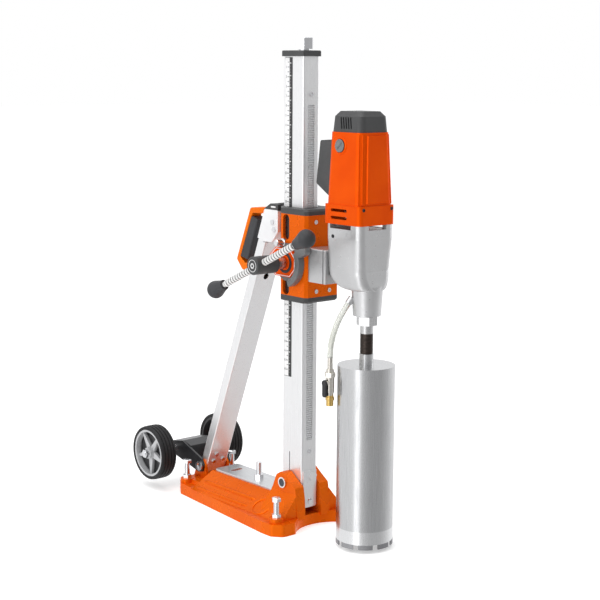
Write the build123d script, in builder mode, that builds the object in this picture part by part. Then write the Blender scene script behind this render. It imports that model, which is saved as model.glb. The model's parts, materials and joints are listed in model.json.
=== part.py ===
"""Core drill rig: a tilting column stand on a cast base, with a carriage, drill motor and core bit.

Millimetres, +Z up. The origin is on the floor under the column's axis, the bit is in front, towards -Y,
and the feed crank is on the -X side. X = 0 is the plane of symmetry of the stand.
"""
from build123d import *
import os
from math import acos, atan2, cos, degrees, pi, radians, sin, sqrt, tan

os.makedirs("parts", exist_ok=True)

# ---- driving dimensions -------------------------------------------------------------------------------
FIT = 0.05             # radial clearance of a running fit
GAP = 0.4              # clearance between faces that slide past each other

COLUMN_W = 42.0        # column section, across X
COLUMN_D = 64.0        # column section, along Y
COLUMN_WALL = 4.0
COLUMN_BOTTOM = 38.0
COLUMN_TOP = 1000.0
CAP_T = 12.0
JACK_Y = -10.0          # jack screw stands forward of the column's axis

TILT_Z = 95.0          # height of the column's tilt pivot
PIN_R = 8.0            # both pivot pins

BASE_FRONT = -67.0
BASE_REAR = 348.0
BASE_HALF_FRONT = 117.0
BASE_HALF_REAR = 84.0
BASE_WALL_Z = 26.0     # top of the base's upright rim
SPINE_Z = 61.0         # top of the raised spine
SLOT_HALF = 22.6       # half width of the slot that the column tilts in
SLOT_FLOOR = 24.0
EAR_T = 24.0
PLATE_T = 4.5
ANCHOR_Y = 140.0

SCREW_FRONT = (94.5, -37.0)   # levelling screws, front pair
SCREW_REAR = (65.0, 326.0)    # levelling screws, rear pair
SCREW_R = 6.0
SCREW_BOSS_Z = 35.0
SCREW_TIP_Z = 3.0
SCREW_TOP_Z = 79.0
NUT_AF = 18.0
NUT_H = 8.0

STRUT_Y = 312.0        # strut's foot pivot
STRUT_Z = 62.0
STRUT_LEAN = 21.5      # degrees from upright
STRUT_W = 56.0
STRUT_D = 25.0
STRUT_WALL = 3.0
LUG_T = 6.0
STRUT_LENGTH = 588.0   # from the foot pivot up to the bracket

AXLE_Y = 410.7
AXLE_Z = 84.4
AXLE_R = 6.0
TYRE_R = 63.8
RIM_R = 55.0
WHEEL_W = 40.0
WHEEL_X = 98.0         # middle of each wheel
SPOKES = 5

CARRIAGE_HALF = 46.0
CARRIAGE_FRONT = -72.0
CARRIAGE_SIDE_REAR = 9.0
CARRIAGE_BOTTOM = 505.0
CARRIAGE_TOP = 676.0
COVER_T = 12.0
SLOT_W = 20.0          # guide pad windows in the carriage's sides
PAD_Y = -7.5
PAD_Z = (525.5, 648.0)
PAD_H = (39.0, 54.0)

FEED_MODULE = 1.5
FEED_Z = 575.0
PINION_TEETH = 16
REDUCTION_TEETH = 26
CRANK_TEETH = 12
RACK_W = 18.0
RACK_BOTTOM = 188.0
RACK_TOP = 901.0
RACK_PITCH_Y = -31.5

CRANK_X = -124.0       # plane of the crank's bar
CRANK_ANGLE = -24.8    # slope of the bar from +Y, degrees
CRANK_REACH = 166.0
CRANK_BAR_R = 7.5
KNOB_R = 19.0
HUB_R = 19.0
HUB_START = -83.0      # inner and outer ends of the crank hub
HUB_END = -142.0
COLLAR_START = -62.4

MOTOR_Y = -182.0
BIT_Y = -208.7
BAND_HALF_X = 48.5
BAND_HALF_Y = 54.5
BAND_BOTTOM = 668.0
BAND_TOP = 707.0
MOTOR_CAP_Z = 851.0
MOTOR_TOP = 892.0

GEAR_MODULE = 1.0
ARMATURE_TEETH = 12
LAY_GEAR_TEETH = 28
LAY_PINION_TEETH = 16
SPINDLE_TEETH = 36

BARREL_R = 58.8
BARREL_WALL = 2.0
BARREL_TOP = 382.0
BARREL_BOTTOM = 18.0
SEGMENT_TIP_Z = 8.0
SEGMENTS = 9

HOSE_R = 6.0
VALVE_X = -56.0
VALVE_Y = -161.0
# route of the hose: steeply down from the spigot on the gearbox's neck, then hanging to the valve
HOSE_ROUTE = [(-31, -186.6, 508), (-40.5, -179.5, 489), (-48.5, -171.5, 465), (-53.5, -165.0, 439),
              (VALVE_X, VALVE_Y, 414), (VALVE_X, VALVE_Y, 396)]

# ---- derived places -----------------------------------------------------------------------------------
PINION_R = FEED_MODULE * PINION_TEETH / 2
PINION_Y = RACK_PITCH_Y - PINION_R
FEED_CENTRES = FEED_MODULE * (REDUCTION_TEETH + CRANK_TEETH) / 2
CRANK_Y = PINION_Y + FEED_CENTRES
LAY_TO_MOTOR = GEAR_MODULE * (ARMATURE_TEETH + LAY_GEAR_TEETH) / 2
LAY_TO_SPINDLE = GEAR_MODULE * (LAY_PINION_TEETH + SPINDLE_TEETH) / 2
AXIS_OFFSET = MOTOR_Y - BIT_Y
LAY_BACK = (LAY_TO_MOTOR**2 - LAY_TO_SPINDLE**2 + AXIS_OFFSET**2) / (2 * AXIS_OFFSET)
LAY_X = sqrt(LAY_TO_MOTOR**2 - LAY_BACK**2)
LAY_Y = MOTOR_Y - LAY_BACK
PLATE_TOP = SPINE_Z + PLATE_T
PRESSURE_ANGLE = radians(20)


def save(builder, label):
    """Label a finished piece and write it to its own STEP file."""
    builder.part.label = label
    export_step(builder.part, f"parts/{label}.step")


def involute(angle):
    """Involute function of a pressure angle in radians."""
    return tan(angle) - angle


def gear_outline(teeth, module, first_tooth=0.0, backlash=0.15):
    """Closed list of points round a spur gear with short addendum, one tooth centred on first_tooth degrees."""
    pitch_r = module * teeth / 2
    base_r = pitch_r * cos(PRESSURE_ANGLE)
    tip_r = pitch_r + 0.8 * module
    root_r = pitch_r - 1.15 * module
    half_tooth = pi / (2 * teeth) - backlash / (2 * pitch_r)
    start_r = max(base_r, root_r)
    flank = []
    for step in range(4):
        radius = start_r + (tip_r - start_r) * step / 3
        angle = half_tooth + involute(PRESSURE_ANGLE) - involute(acos(min(1.0, base_r / radius)))
        flank.append((radius, angle))
    points = []
    for tooth in range(teeth):
        middle = radians(first_tooth) + 2 * pi * tooth / teeth
        rising = [(root_r, -flank[0][1])] + [(radius, -angle) for radius, angle in flank]
        falling = [(radius, angle) for radius, angle in reversed(flank)] + [(root_r, flank[0][1])]
        for radius, angle in rising + falling:
            points.append((radius * cos(middle + angle), radius * sin(middle + angle)))
    return points


def feed_plane(x, y):
    """Plane across a feed shaft: its normal is +X and its first direction is +Y."""
    return Plane(origin=(x, y, FEED_Z), x_dir=(0, 1, 0), z_dir=(1, 0, 0))


def gear_sketch(plane, teeth, module, first_tooth):
    """Sketch of a spur gear on a plane through its axis."""
    with BuildSketch(plane, mode=Mode.PRIVATE) as gear:
        with BuildLine():
            Polyline(*gear_outline(teeth, module, first_tooth), close=True)
        make_face()
    return gear.sketch


def hexagon_bolt(across_flats, head_h, shank_r, shank_length):
    """A plain hexagon bolt on the current plane: head above it, shank below it."""
    with BuildPart(mode=Mode.PRIVATE) as bolt:
        with BuildSketch():
            RegularPolygon(radius=across_flats / 2, side_count=6, major_radius=False)
        extrude(amount=head_h)
        chamfer(bolt.edges().group_by(Axis.Z)[-1], 0.08 * across_flats)
        with BuildSketch():
            Circle(shank_r)
        extrude(amount=-shank_length)
    return bolt.part


# ---- base -----------------------------------------------------------------------------------------------
with BuildPart() as base_casting:
    with BuildSketch() as base_outline:
        with BuildLine():
            Polyline(
                (0, BASE_REAR), (BASE_HALF_REAR - 14, BASE_REAR), (BASE_HALF_REAR, BASE_REAR - 22),
                (BASE_HALF_FRONT, -14), (BASE_HALF_FRONT, -46), (99, BASE_FRONT), (66, BASE_FRONT),
            )
            ThreePointArc((66, BASE_FRONT), (38, -46), (0, -38))
            Line((0, -38), (0, BASE_REAR))
        make_face()
        mirror(about=Plane.YZ)
        rim_corners = base_outline.vertices().filter_by(lambda corner: abs(corner.X) > 60)
        fillet(rim_corners, 10)
    extrude(amount=BASE_WALL_Z)
    with BuildSketch(Plane.XY.offset(BASE_WALL_Z)):
        with Locations((0, 125)):
            Rectangle(190, 288)
    with BuildSketch(Plane.XY.offset(SPINE_Z)):
        with Locations((0, 146)):
            Rectangle(74, 240)
    loft()
    # front lobes and rear ledge that carry the levelling screws
    for screw_x, screw_y in (SCREW_FRONT, SCREW_REAR):
        with BuildSketch(Plane.XY.offset(10)):
            with Locations((screw_x, screw_y), (-screw_x, screw_y)):
                Circle(17)
        extrude(amount=SCREW_BOSS_Z - 10, taper=4)
    with BuildSketch(Plane.XY.offset(BASE_WALL_Z - 2)):
        with Locations((0, 306)):
            RectangleRounded(132, 76, 14)
    extrude(amount=10, taper=20)
    # ears on both sides of the column, with shoulders that run out into the front lobes
    for side in (1, -1):
        with BuildSketch(Plane.YZ.offset(side * SLOT_HALF)):
            with BuildLine():
                Polyline((46, 20), (42, 66), (33, 82), (22, 108), (8, 117), (-2, 116), (-22, 102),
                         (-41, 90), (-46, 64), (-48, 20), close=True)
            make_face()
        extrude(amount=side * EAR_T)
    ear_tops = base_casting.edges().filter_by(Axis.X).filter_by(lambda edge: edge.center().Z > 85)
    fillet(ear_tops, 4)
    for side in (1, -1):
        with BuildSketch(Plane.XZ.offset(46)):
            with BuildLine():
                Polyline((side * 46, 20), (side * 46, 76), (side * 84, 30), (side * 84, 20), close=True)
            make_face()
        extrude(amount=-82)
    # lugs that hold the pin in the strut's foot
    for side in (1, -1):
        with BuildSketch(Plane.YZ.offset(side * (STRUT_W / 2 + GAP))):
            with BuildLine():
                Polyline((290, 30), (342, 30), (328, 66), (318, 76), (306, 76), (297, 64), close=True)
            make_face()
        extrude(amount=side * LUG_T)
    # slot for the column, open to the front, and the space under the spine
    with BuildSketch(Plane.XY.offset(SLOT_FLOOR)):
        with Locations((0, -16)):
            Rectangle(2 * SLOT_HALF, 120)
    extrude(amount=120, mode=Mode.SUBTRACT)
    with BuildSketch():
        with Locations((0, 165)):
            Rectangle(150, 200)
    with BuildSketch(Plane.XY.offset(SPINE_Z - 8)):
        with Locations((0, 160)):
            Rectangle(56, 180)
    loft(mode=Mode.SUBTRACT)
    # long hole for the floor anchor, and the bores of the screws and pins
    with BuildSketch(Plane.XY.offset(SPINE_Z)):
        with Locations((0, 160)):
            SlotOverall(130, 18, rotation=90)
    extrude(amount=-12, mode=Mode.SUBTRACT)
    screw_places = [(sx * side, sy) for sx, sy in (SCREW_FRONT, SCREW_REAR) for side in (1, -1)]
    with Locations([(sx, sy, SCREW_BOSS_Z) for sx, sy in screw_places]):
        Hole(SCREW_R + FIT)
    with BuildSketch(Plane.YZ.offset(-60)):
        with Locations((0, TILT_Z)):
            Circle(PIN_R)
        with Locations((STRUT_Y, STRUT_Z)):
            Circle(PIN_R)
    extrude(amount=120, mode=Mode.SUBTRACT)
save(base_casting, "base_casting")

with BuildPart() as base_cover_plate:
    with BuildSketch(Plane.XY.offset(SPINE_Z)):
        with Locations((0, 156)):
            RectangleRounded(68, 212, 8)
    extrude(amount=PLATE_T)
    with Locations((0, ANCHOR_Y, PLATE_TOP)):
        Hole(6.5)
    with BuildSketch(Plane.XY.offset(PLATE_TOP)):
        with Locations((0, 222)):
            SlotOverall(30, 10)
    extrude(amount=-PLATE_T, mode=Mode.SUBTRACT)
    chamfer(base_cover_plate.faces().sort_by(Axis.Z)[-1].outer_wire().edges(), 1)
save(base_cover_plate, "base_cover_plate")

with BuildPart() as anchor_stud:
    with BuildSketch(Plane.XY.offset(30)):
        with Locations((0, ANCHOR_Y)):
            Circle(6)
    extrude(amount=72)
    chamfer(anchor_stud.edges().sort_by(Axis.Z)[-1], 1)
    with BuildSketch(Plane.XY.offset(40)):
        with Locations((0, ANCHOR_Y)):
            Rectangle(30, 16)
    extrude(amount=6)
save(anchor_stud, "anchor_stud")

# Nuts of one size: jam nuts of the levelling screws, the anchor's nut and the two axle nuts.
with BuildPart() as hex_nuts:
    nut_seats = [(sx, sy, SCREW_BOSS_Z) for sx, sy in screw_places] + [(0, ANCHOR_Y, PLATE_TOP)]
    for seat_x, seat_y, seat_z in nut_seats:
        bore_r = SCREW_R if seat_x == 0 else SCREW_R + FIT
        with BuildSketch(Plane.XY.offset(seat_z)):
            with Locations((seat_x, seat_y)):
                RegularPolygon(NUT_AF / 2, 6, major_radius=False)
                Circle(bore_r, mode=Mode.SUBTRACT)
        extrude(amount=NUT_H)
    for side in (1, -1):
        with BuildSketch(Plane.YZ.offset(side * (WHEEL_X + WHEEL_W / 2 + 0.6))):
            with Locations((AXLE_Y, AXLE_Z)):
                RegularPolygon(NUT_AF / 2, 6, major_radius=False)
                Circle(AXLE_R, mode=Mode.SUBTRACT)
        extrude(amount=side * NUT_H)
save(hex_nuts, "hex_nuts")

# Two steel pins with ring heads: the column's tilt pin and the pin in the strut's foot.
PIN_HEAD_R = 11.5
with BuildPart() as pivot_pins:
    for pin_y, pin_z, half_length in ((0, TILT_Z, SLOT_HALF + EAR_T), (STRUT_Y, STRUT_Z, 39.6)):
        with BuildSketch(Plane.YZ.offset(-half_length)):
            with Locations((pin_y, pin_z)):
                Circle(PIN_R)
        extrude(amount=2 * half_length)
        for side in (1, -1):
            with BuildSketch(Plane.YZ.offset(side * half_length)):
                with Locations((pin_y, pin_z)):
                    Circle(PIN_HEAD_R)
            extrude(amount=side * 3)
            with BuildSketch(Plane.YZ.offset(side * (half_length + 3))):
                with Locations((pin_y, pin_z)):
                    RegularPolygon(6, 6, major_radius=False)
            extrude(amount=side * -2, mode=Mode.SUBTRACT)
save(pivot_pins, "pivot_pins")

# ---- levelling screws -----------------------------------------------------------------------------------
SCREW_NAMES = ("level_screw_front_right", "level_screw_front_left",
               "level_screw_rear_right", "level_screw_rear_left")
for screw_name, (screw_x, screw_y) in zip(SCREW_NAMES, screw_places):
    with BuildPart(Plane((screw_x, screw_y, SCREW_TOP_Z - 8))) as level_screw:
        add(hexagon_bolt(NUT_AF, 8, SCREW_R, SCREW_TOP_Z - 8 - SCREW_TIP_Z))
        chamfer(level_screw.edges().sort_by(Axis.Z)[0], 1.5)
    save(level_screw, screw_name)

# ---- wheels ---------------------------------------------------------------------------------------------
ARM_INNER = STRUT_W / 2 + GAP + LUG_T
ARM_T = 5.0
with BuildPart() as wheel_bracket:
    for side in (1, -1):
        with BuildSketch(Plane.YZ.offset(side * ARM_INNER)):
            with BuildLine():
                Polyline((302, 50), (318, 47), (AXLE_Y + 6, 70), (AXLE_Y + 14, 82),
                         (AXLE_Y + 8, 101), (AXLE_Y - 30, 108), (306, 80), (298, 66), close=True)
            make_face()
            with Locations((STRUT_Y, STRUT_Z)):
                Circle(PIN_R, mode=Mode.SUBTRACT)
            with Locations((AXLE_Y, AXLE_Z)):
                Circle(AXLE_R, mode=Mode.SUBTRACT)
        extrude(amount=side * ARM_T)
    with BuildSketch(Plane.YZ.offset(-ARM_INNER)):
        with BuildLine():
            Polyline((AXLE_Y + 8, 101), (AXLE_Y - 30, 108), (354, 100), (354, 95),
                     (AXLE_Y - 30, 103), (AXLE_Y + 6, 96.4), close=True)
        make_face()
    extrude(amount=2 * ARM_INNER)
save(wheel_bracket, "wheel_bracket")

with BuildPart() as wheel_axle:
    with BuildSketch(Plane.YZ.offset(-(WHEEL_X + WHEEL_W / 2 + 10))):
        with Locations((AXLE_Y, AXLE_Z)):
            Circle(AXLE_R)
    extrude(amount=2 * (WHEEL_X + WHEEL_W / 2 + 10))
    for side in (1, -1):
        with BuildSketch(Plane.YZ.offset(side * (ARM_INNER + ARM_T))):
            with Locations((AXLE_Y, AXLE_Z)):
                Circle(9.5)
        extrude(amount=side * (WHEEL_X - WHEEL_W / 2 - ARM_INNER - ARM_T - GAP))
save(wheel_axle, "wheel_axle")

for side_name, side in (("left", -1), ("right", 1)):
    wheel_plane = Plane(origin=(side * WHEEL_X, AXLE_Y, AXLE_Z), x_dir=(0, 1, 0), z_dir=(side, 0, 0))
    half_w = WHEEL_W / 2
    with BuildPart(wheel_plane) as rim:
        # barrel of the rim, hub, web and spokes
        with BuildSketch(wheel_plane.offset(-half_w + 2)):
            Circle(RIM_R)
            Circle(RIM_R - 5, mode=Mode.SUBTRACT)
        extrude(amount=WHEEL_W - 4)
        with BuildSketch(wheel_plane.offset(-half_w)):
            Circle(13)
        extrude(amount=WHEEL_W)
        with BuildSketch(wheel_plane.offset(-2)):
            Circle(RIM_R - 4)
        extrude(amount=4)
        with BuildSketch(wheel_plane.offset(2)):
            with PolarLocations(0, SPOKES, start_angle=90):
                with Locations((RIM_R / 2, 0)):
                    Trapezoid(17, RIM_R - 6, 83, rotation=-90)
        extrude(amount=9)
        with BuildSketch(wheel_plane.offset(-half_w)):
            Circle(AXLE_R + FIT)
        extrude(amount=WHEEL_W, mode=Mode.SUBTRACT)
    save(rim, f"rim_{side_name}")
    with BuildPart(wheel_plane) as tyre:
        with BuildSketch(wheel_plane.offset(-half_w)):
            Circle(TYRE_R)
            Circle(RIM_R, mode=Mode.SUBTRACT)
        extrude(amount=WHEEL_W)
        fillet(tyre.edges().filter_by(GeomType.CIRCLE).filter_by(lambda edge: edge.radius > RIM_R + 1), 5)
    save(tyre, f"tyre_{side_name}")

# ---- column ---------------------------------------------------------------------------------------------
FRONT_FACE = -COLUMN_D / 2
REAR_FACE = COLUMN_D / 2
RACK_SEAT = 6.0
COLUMN_SCREW_Z = (163.0, 923.0)
with BuildPart() as column_extrusion:
    with BuildSketch(Plane.XY.offset(COLUMN_BOTTOM)) as column_section:
        RectangleRounded(COLUMN_W, COLUMN_D, 3)
        with Locations((0, 2)):
            Rectangle(COLUMN_W - 2 * COLUMN_WALL, COLUMN_D - 2 * COLUMN_WALL - 8, mode=Mode.SUBTRACT)
        # tee slot along the back
        with Locations((0, REAR_FACE - 2)):
            Rectangle(9, 6, mode=Mode.SUBTRACT)
    extrude(amount=COLUMN_TOP - COLUMN_BOTTOM)
    with BuildSketch(Plane.XZ.offset(-FRONT_FACE)):
        with Locations((0, (RACK_TOP + RACK_BOTTOM) / 2)):
            Rectangle(RACK_W, RACK_TOP - RACK_BOTTOM)
    extrude(amount=-RACK_SEAT, mode=Mode.SUBTRACT)
    with BuildSketch(Plane.YZ.offset(-COLUMN_W / 2)):
        with Locations((0, TILT_Z)):
            Circle(PIN_R + FIT)
    extrude(amount=COLUMN_W, mode=Mode.SUBTRACT)
    # sight slot low on the side, and screw holes on the front
    with BuildSketch(Plane.YZ.offset(-COLUMN_W / 2)):
        with Locations((8, 137)):
            SlotOverall(42, 2.4, rotation=90)
    extrude(amount=COLUMN_WALL, mode=Mode.SUBTRACT)
    with BuildSketch(Plane.XZ.offset(-FRONT_FACE)):
        for screw_z in COLUMN_SCREW_Z:
            with Locations((0, screw_z)):
                Circle(3)
    extrude(amount=-10, mode=Mode.SUBTRACT)
save(column_extrusion, "column_extrusion")

with BuildPart() as column_screws:
    for screw_z in COLUMN_SCREW_Z:
        with BuildSketch(Plane.XZ.offset(-FRONT_FACE)):
            with Locations((0, screw_z)):
                Circle(5)
        extrude(amount=2)
        with BuildSketch(Plane.XZ.offset(-FRONT_FACE)):
            with Locations((0, screw_z)):
                Circle(3)
        extrude(amount=-9)
        with BuildSketch(Plane.XZ.offset(-FRONT_FACE + 2)):
            with Locations((0, screw_z)):
                RegularPolygon(2.4, 6, major_radius=False)
        extrude(amount=-1.5, mode=Mode.SUBTRACT)
save(column_screws, "column_screws")

RACK_PITCH = pi * FEED_MODULE
with BuildPart() as gear_rack:
    tip_y = RACK_PITCH_Y - 0.8 * FEED_MODULE
    root_y = RACK_PITCH_Y + 1.15 * FEED_MODULE
    half_pitch_tooth = RACK_PITCH / 4 - 0.1
    half_tip = half_pitch_tooth - 0.8 * FEED_MODULE * tan(PRESSURE_ANGLE)
    half_root = half_pitch_tooth + 1.15 * FEED_MODULE * tan(PRESSURE_ANGLE)
    teeth_below = int((FEED_Z - RACK_BOTTOM) / RACK_PITCH)
    teeth_above = int((RACK_TOP - FEED_Z) / RACK_PITCH)
    back_y = FRONT_FACE + RACK_SEAT
    outline = [(back_y, RACK_BOTTOM), (root_y, RACK_BOTTOM)]
    for tooth in range(-teeth_below, teeth_above):
        middle = FEED_Z + (tooth + 0.5) * RACK_PITCH
        outline += [(root_y, middle - half_root), (tip_y, middle - half_tip)]
        outline += [(tip_y, middle + half_tip), (root_y, middle + half_root)]
    outline += [(root_y, RACK_TOP), (back_y, RACK_TOP)]
    with BuildSketch(Plane.YZ.offset(-RACK_W / 2)):
        with BuildLine():
            Polyline(*outline, close=True)
        make_face()
    extrude(amount=RACK_W)
save(gear_rack, "gear_rack")

with BuildPart() as ruler_strip:
    with BuildSketch(Plane.YZ.offset(-COLUMN_W / 2)):
        with Locations((15, (323 + 998) / 2)):
            Rectangle(23, 998 - 323)
    extrude(amount=-0.5)
save(ruler_strip, "ruler_strip")

with BuildPart() as column_cap:
    with BuildSketch(Plane.XY.offset(COLUMN_TOP)):
        RectangleRounded(COLUMN_W + 9, COLUMN_D + 9, 6)
    extrude(amount=CAP_T)
    fillet(column_cap.faces().sort_by(Axis.Z)[-1].edges(), 2.5)
    with BuildSketch(Plane.XY.offset(COLUMN_TOP)):
        with Locations((0, 2)):
            Rectangle(COLUMN_W - 2 * COLUMN_WALL - 1, COLUMN_D - 2 * COLUMN_WALL - 9)
    extrude(amount=-18)
    with Locations((0, JACK_Y, COLUMN_TOP + CAP_T)):
        Hole(8 + FIT)
save(column_cap, "column_cap")

with BuildPart() as jack_screw:
    with BuildSketch(Plane.XY.offset(COLUMN_TOP - 60)):
        with Locations((0, JACK_Y)):
            Circle(8)
    extrude(amount=60 + CAP_T + 1)
    with BuildSketch(Plane.XY.offset(COLUMN_TOP + CAP_T + 0.5)):
        with Locations((0, JACK_Y)):
            Circle(13)
    extrude(amount=2.5)
    with BuildSketch(Plane.XY.offset(COLUMN_TOP + CAP_T + 3)):
        with Locations((0, JACK_Y)):
            RegularPolygon(16.5, 6, major_radius=False, rotation=-14)
    extrude(amount=24)
    chamfer(jack_screw.edges().group_by(Axis.Z)[-1], 1.5)
save(jack_screw, "jack_screw")

# Foot plate on the front of the column, with its clamping screw.
with BuildPart() as column_foot:
    with BuildSketch(Plane.XZ.offset(-FRONT_FACE)):
        with Locations((0, 81)):
            RectangleRounded(37, 80, 2)
    extrude(amount=3)
    with BuildSketch(Plane.XZ.offset(-FRONT_FACE + 3)):
        with Locations((7, 108)):
            RegularPolygon(9.5, 6, major_radius=False)
        with Locations((0, 51)):
            Circle(5)
    extrude(amount=3)
save(column_foot, "column_foot")

# ---- strut ----------------------------------------------------------------------------------------------
strut_plane = Plane(
    origin=(0, STRUT_Y, STRUT_Z), x_dir=(1, 0, 0),
    z_dir=(0, -sin(radians(STRUT_LEAN)), cos(radians(STRUT_LEAN))),
)
strut_front = Plane(
    origin=(0, STRUT_Y, STRUT_Z), x_dir=(1, 0, 0),
    z_dir=(0, -cos(radians(STRUT_LEAN)), -sin(radians(STRUT_LEAN))),
).offset(STRUT_D / 2)
with BuildPart() as strut_tube:
    with BuildSketch(strut_plane.offset(-12)):
        RectangleRounded(STRUT_W, STRUT_D, 3)
        RectangleRounded(STRUT_W - 2 * STRUT_WALL, STRUT_D - 2 * STRUT_WALL, 1.5, mode=Mode.SUBTRACT)
    extrude(amount=STRUT_LENGTH + 12)
    with BuildSketch(Plane.YZ.offset(-STRUT_W / 2)):
        with Locations((STRUT_Y, STRUT_Z)):
            Circle(PIN_R + FIT)
    extrude(amount=STRUT_W, mode=Mode.SUBTRACT)
    # round hole through the front wall, near the top
    with BuildSketch(Plane.XZ.offset(-60)):
        with Locations((0, 526)):
            Circle(7)
    extrude(amount=-65, mode=Mode.SUBTRACT)
save(strut_tube, "strut_tube")

HEAD_BOTTOM = 608.0
HEAD_TOP = 678.0
with BuildPart() as strut_head:
    # clamp casting that joins the strut to the back of the column
    with BuildSketch(Plane.YZ.offset(-STRUT_W / 2 - 1)):
        with BuildLine():
            Polyline((112, HEAD_BOTTOM), (86, HEAD_TOP), (41, HEAD_TOP), (41, 632), (62, HEAD_BOTTOM),
                     close=True)
        make_face()
    extrude(amount=STRUT_W + 2)
    fillet(strut_head.edges().filter_by(Axis.X), 4)
    with BuildSketch(Plane.YZ.offset(-12)):
        with Locations(((REAR_FACE + GAP + 45) / 2, 655)):
            Rectangle(45 - REAR_FACE - GAP, 40)
    extrude(amount=24)
    with BuildSketch(strut_plane.offset(STRUT_LENGTH - 60)):
        Rectangle(STRUT_W + 4, STRUT_D + 4)
    extrude(amount=60, mode=Mode.SUBTRACT)
    with BuildSketch(strut_plane.offset(STRUT_LENGTH - 50)):
        RectangleRounded(STRUT_W - 2 * STRUT_WALL, STRUT_D - 2 * STRUT_WALL, 1.5)
    extrude(amount=62)
save(strut_head, "strut_head")

with BuildPart() as strut_head_cap:
    with BuildSketch(Plane.YZ.offset(-STRUT_W / 2 - 1)):
        with BuildLine():
            Polyline((88, HEAD_TOP), (66, 691), (41, 691), (41, HEAD_TOP), close=True)
        make_face()
    extrude(amount=STRUT_W + 2)
    # vial of the bubble level
    with BuildSketch(Plane.XY.offset(691)):
        with Locations((0, 53)):
            SlotOverall(34, 12)
    extrude(amount=-5, mode=Mode.SUBTRACT)
save(strut_head_cap, "strut_head_cap")

with BuildPart() as strut_bolts:
    for side in (1, -1):
        with BuildSketch(Plane.YZ.offset(side * (STRUT_W / 2 + 1))):
            with Locations((53, 636), (58, 652)):
                RegularPolygon(5, 6, major_radius=False)
        extrude(amount=side * 3)
    with BuildSketch(strut_front):
        with Locations((-8, 34), (-12, 16), (14, 18)):
            RegularPolygon(4.5, 6, major_radius=False)
    extrude(amount=3)
save(strut_bolts, "strut_bolts")

# Carry handle behind the strut: an orange outer shell with a dark grip inside it.
with BuildPart() as carry_handle:
    with BuildSketch(Plane.YZ.offset(-15)) as handle_profile:
        with BuildLine():
            Polyline((88, 681), (154, 675), (203, 557), (182, 534), (138, 541),
                     (143, 556), (174, 551), (190, 562), (147, 663), (95, 666), close=True)
        make_face()
        outer_corners = handle_profile.vertices().filter_by(lambda corner: corner.Y > 148)
        fillet(outer_corners, 7)
    extrude(amount=30)
    fillet(carry_handle.faces().filter_by(Axis.X).edges(), 3)
    with BuildSketch(strut_plane.offset(STRUT_LENGTH - 160)):
        Rectangle(STRUT_W, STRUT_D)
    extrude(amount=220, mode=Mode.SUBTRACT)
save(carry_handle, "carry_handle")

with BuildPart() as carry_grip:
    with BuildSketch(Plane.YZ.offset(-14)):
        with BuildLine():
            Polyline((188, 565), (149, 657), (128, 650), (164, 559), close=True)
        make_face()
    extrude(amount=28)
    fillet(carry_grip.edges().filter_by(lambda edge: edge.center().Y < 150), 4)
save(carry_grip, "carry_grip")

# ---- carriage -------------------------------------------------------------------------------------------
REAR_LIP = 38.5


def carriage_section(clear_x, clear_y):
    """Half of the carriage's C-shaped section, open at the back: points for x < 0, for mirroring."""
    return [
        (0, CARRIAGE_FRONT), (-CARRIAGE_HALF + 6, CARRIAGE_FRONT), (-CARRIAGE_HALF, CARRIAGE_FRONT + 6),
        (-CARRIAGE_HALF, CARRIAGE_SIDE_REAR), (-25.5, 34.5), (-22, REAR_LIP), (-14, REAR_LIP),
        (-14, REAR_FACE + GAP), (-COLUMN_W / 2 - 0.6, REAR_FACE + GAP), (-COLUMN_W / 2 - 0.6, 29),
        (-clear_x, 29), (-clear_x, clear_y), (0, clear_y),
    ]


with BuildPart() as carriage_body:
    with BuildSketch(Plane.XY.offset(CARRIAGE_BOTTOM)):
        with BuildLine():
            Polyline(*carriage_section(24, FRONT_FACE - 3), close=True)
        make_face()
        mirror(about=Plane.YZ)
    extrude(amount=CARRIAGE_TOP - CARRIAGE_BOTTOM)
    # windows for the guide pads, in both sides
    with BuildSketch(Plane.YZ.offset(-CARRIAGE_HALF)):
        for pad_z, pad_h in zip(PAD_Z, PAD_H):
            with Locations((PAD_Y, pad_z)):
                SlotOverall(pad_h, SLOT_W, rotation=90)
    extrude(amount=2 * CARRIAGE_HALF, mode=Mode.SUBTRACT)
    # pocket beside the column for the reduction gears, and pocket in front of it for the pinion
    with BuildSketch(Plane.YZ.offset(-42)):
        with Locations((-32, FEED_Z)):
            Rectangle(68, 50)
    extrude(amount=14, mode=Mode.SUBTRACT)
    with BuildSketch(Plane.YZ.offset(-28)):
        with Locations((-44, FEED_Z)):
            Rectangle(30, 34)
    extrude(amount=42, mode=Mode.SUBTRACT)
    # bores for the pinion shaft and the crank shaft
    with BuildSketch(Plane.YZ.offset(-CARRIAGE_HALF)):
        with Locations((PINION_Y, FEED_Z)):
            Circle(6 + FIT)
    extrude(amount=CARRIAGE_HALF + 32, mode=Mode.SUBTRACT)
    with BuildSketch(Plane.YZ.offset(-CARRIAGE_HALF)):
        with Locations((CRANK_Y, FEED_Z)):
            Circle(8 + FIT)
    extrude(amount=24, mode=Mode.SUBTRACT)
save(carriage_body, "carriage_body")

for cover_name, cover_z, cover_h in (("carriage_top_cover", CARRIAGE_TOP, COVER_T),
                                     ("carriage_bottom_cover", CARRIAGE_BOTTOM, -COVER_T)):
    with BuildPart() as cover:
        with BuildSketch(Plane.XY.offset(cover_z)):
            with BuildLine():
                Polyline(*carriage_section(22, FRONT_FACE - 3), close=True)
            make_face()
            mirror(about=Plane.YZ)
        extrude(amount=cover_h)
        flat_end = cover.faces().sort_by(Axis.Z)[-1 if cover_h > 0 else 0]
        front_edges = flat_end.edges().filter_by(lambda edge: edge.center().Y < CARRIAGE_FRONT + 8)
        chamfer(front_edges, 4)
    save(cover, cover_name)

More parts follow.
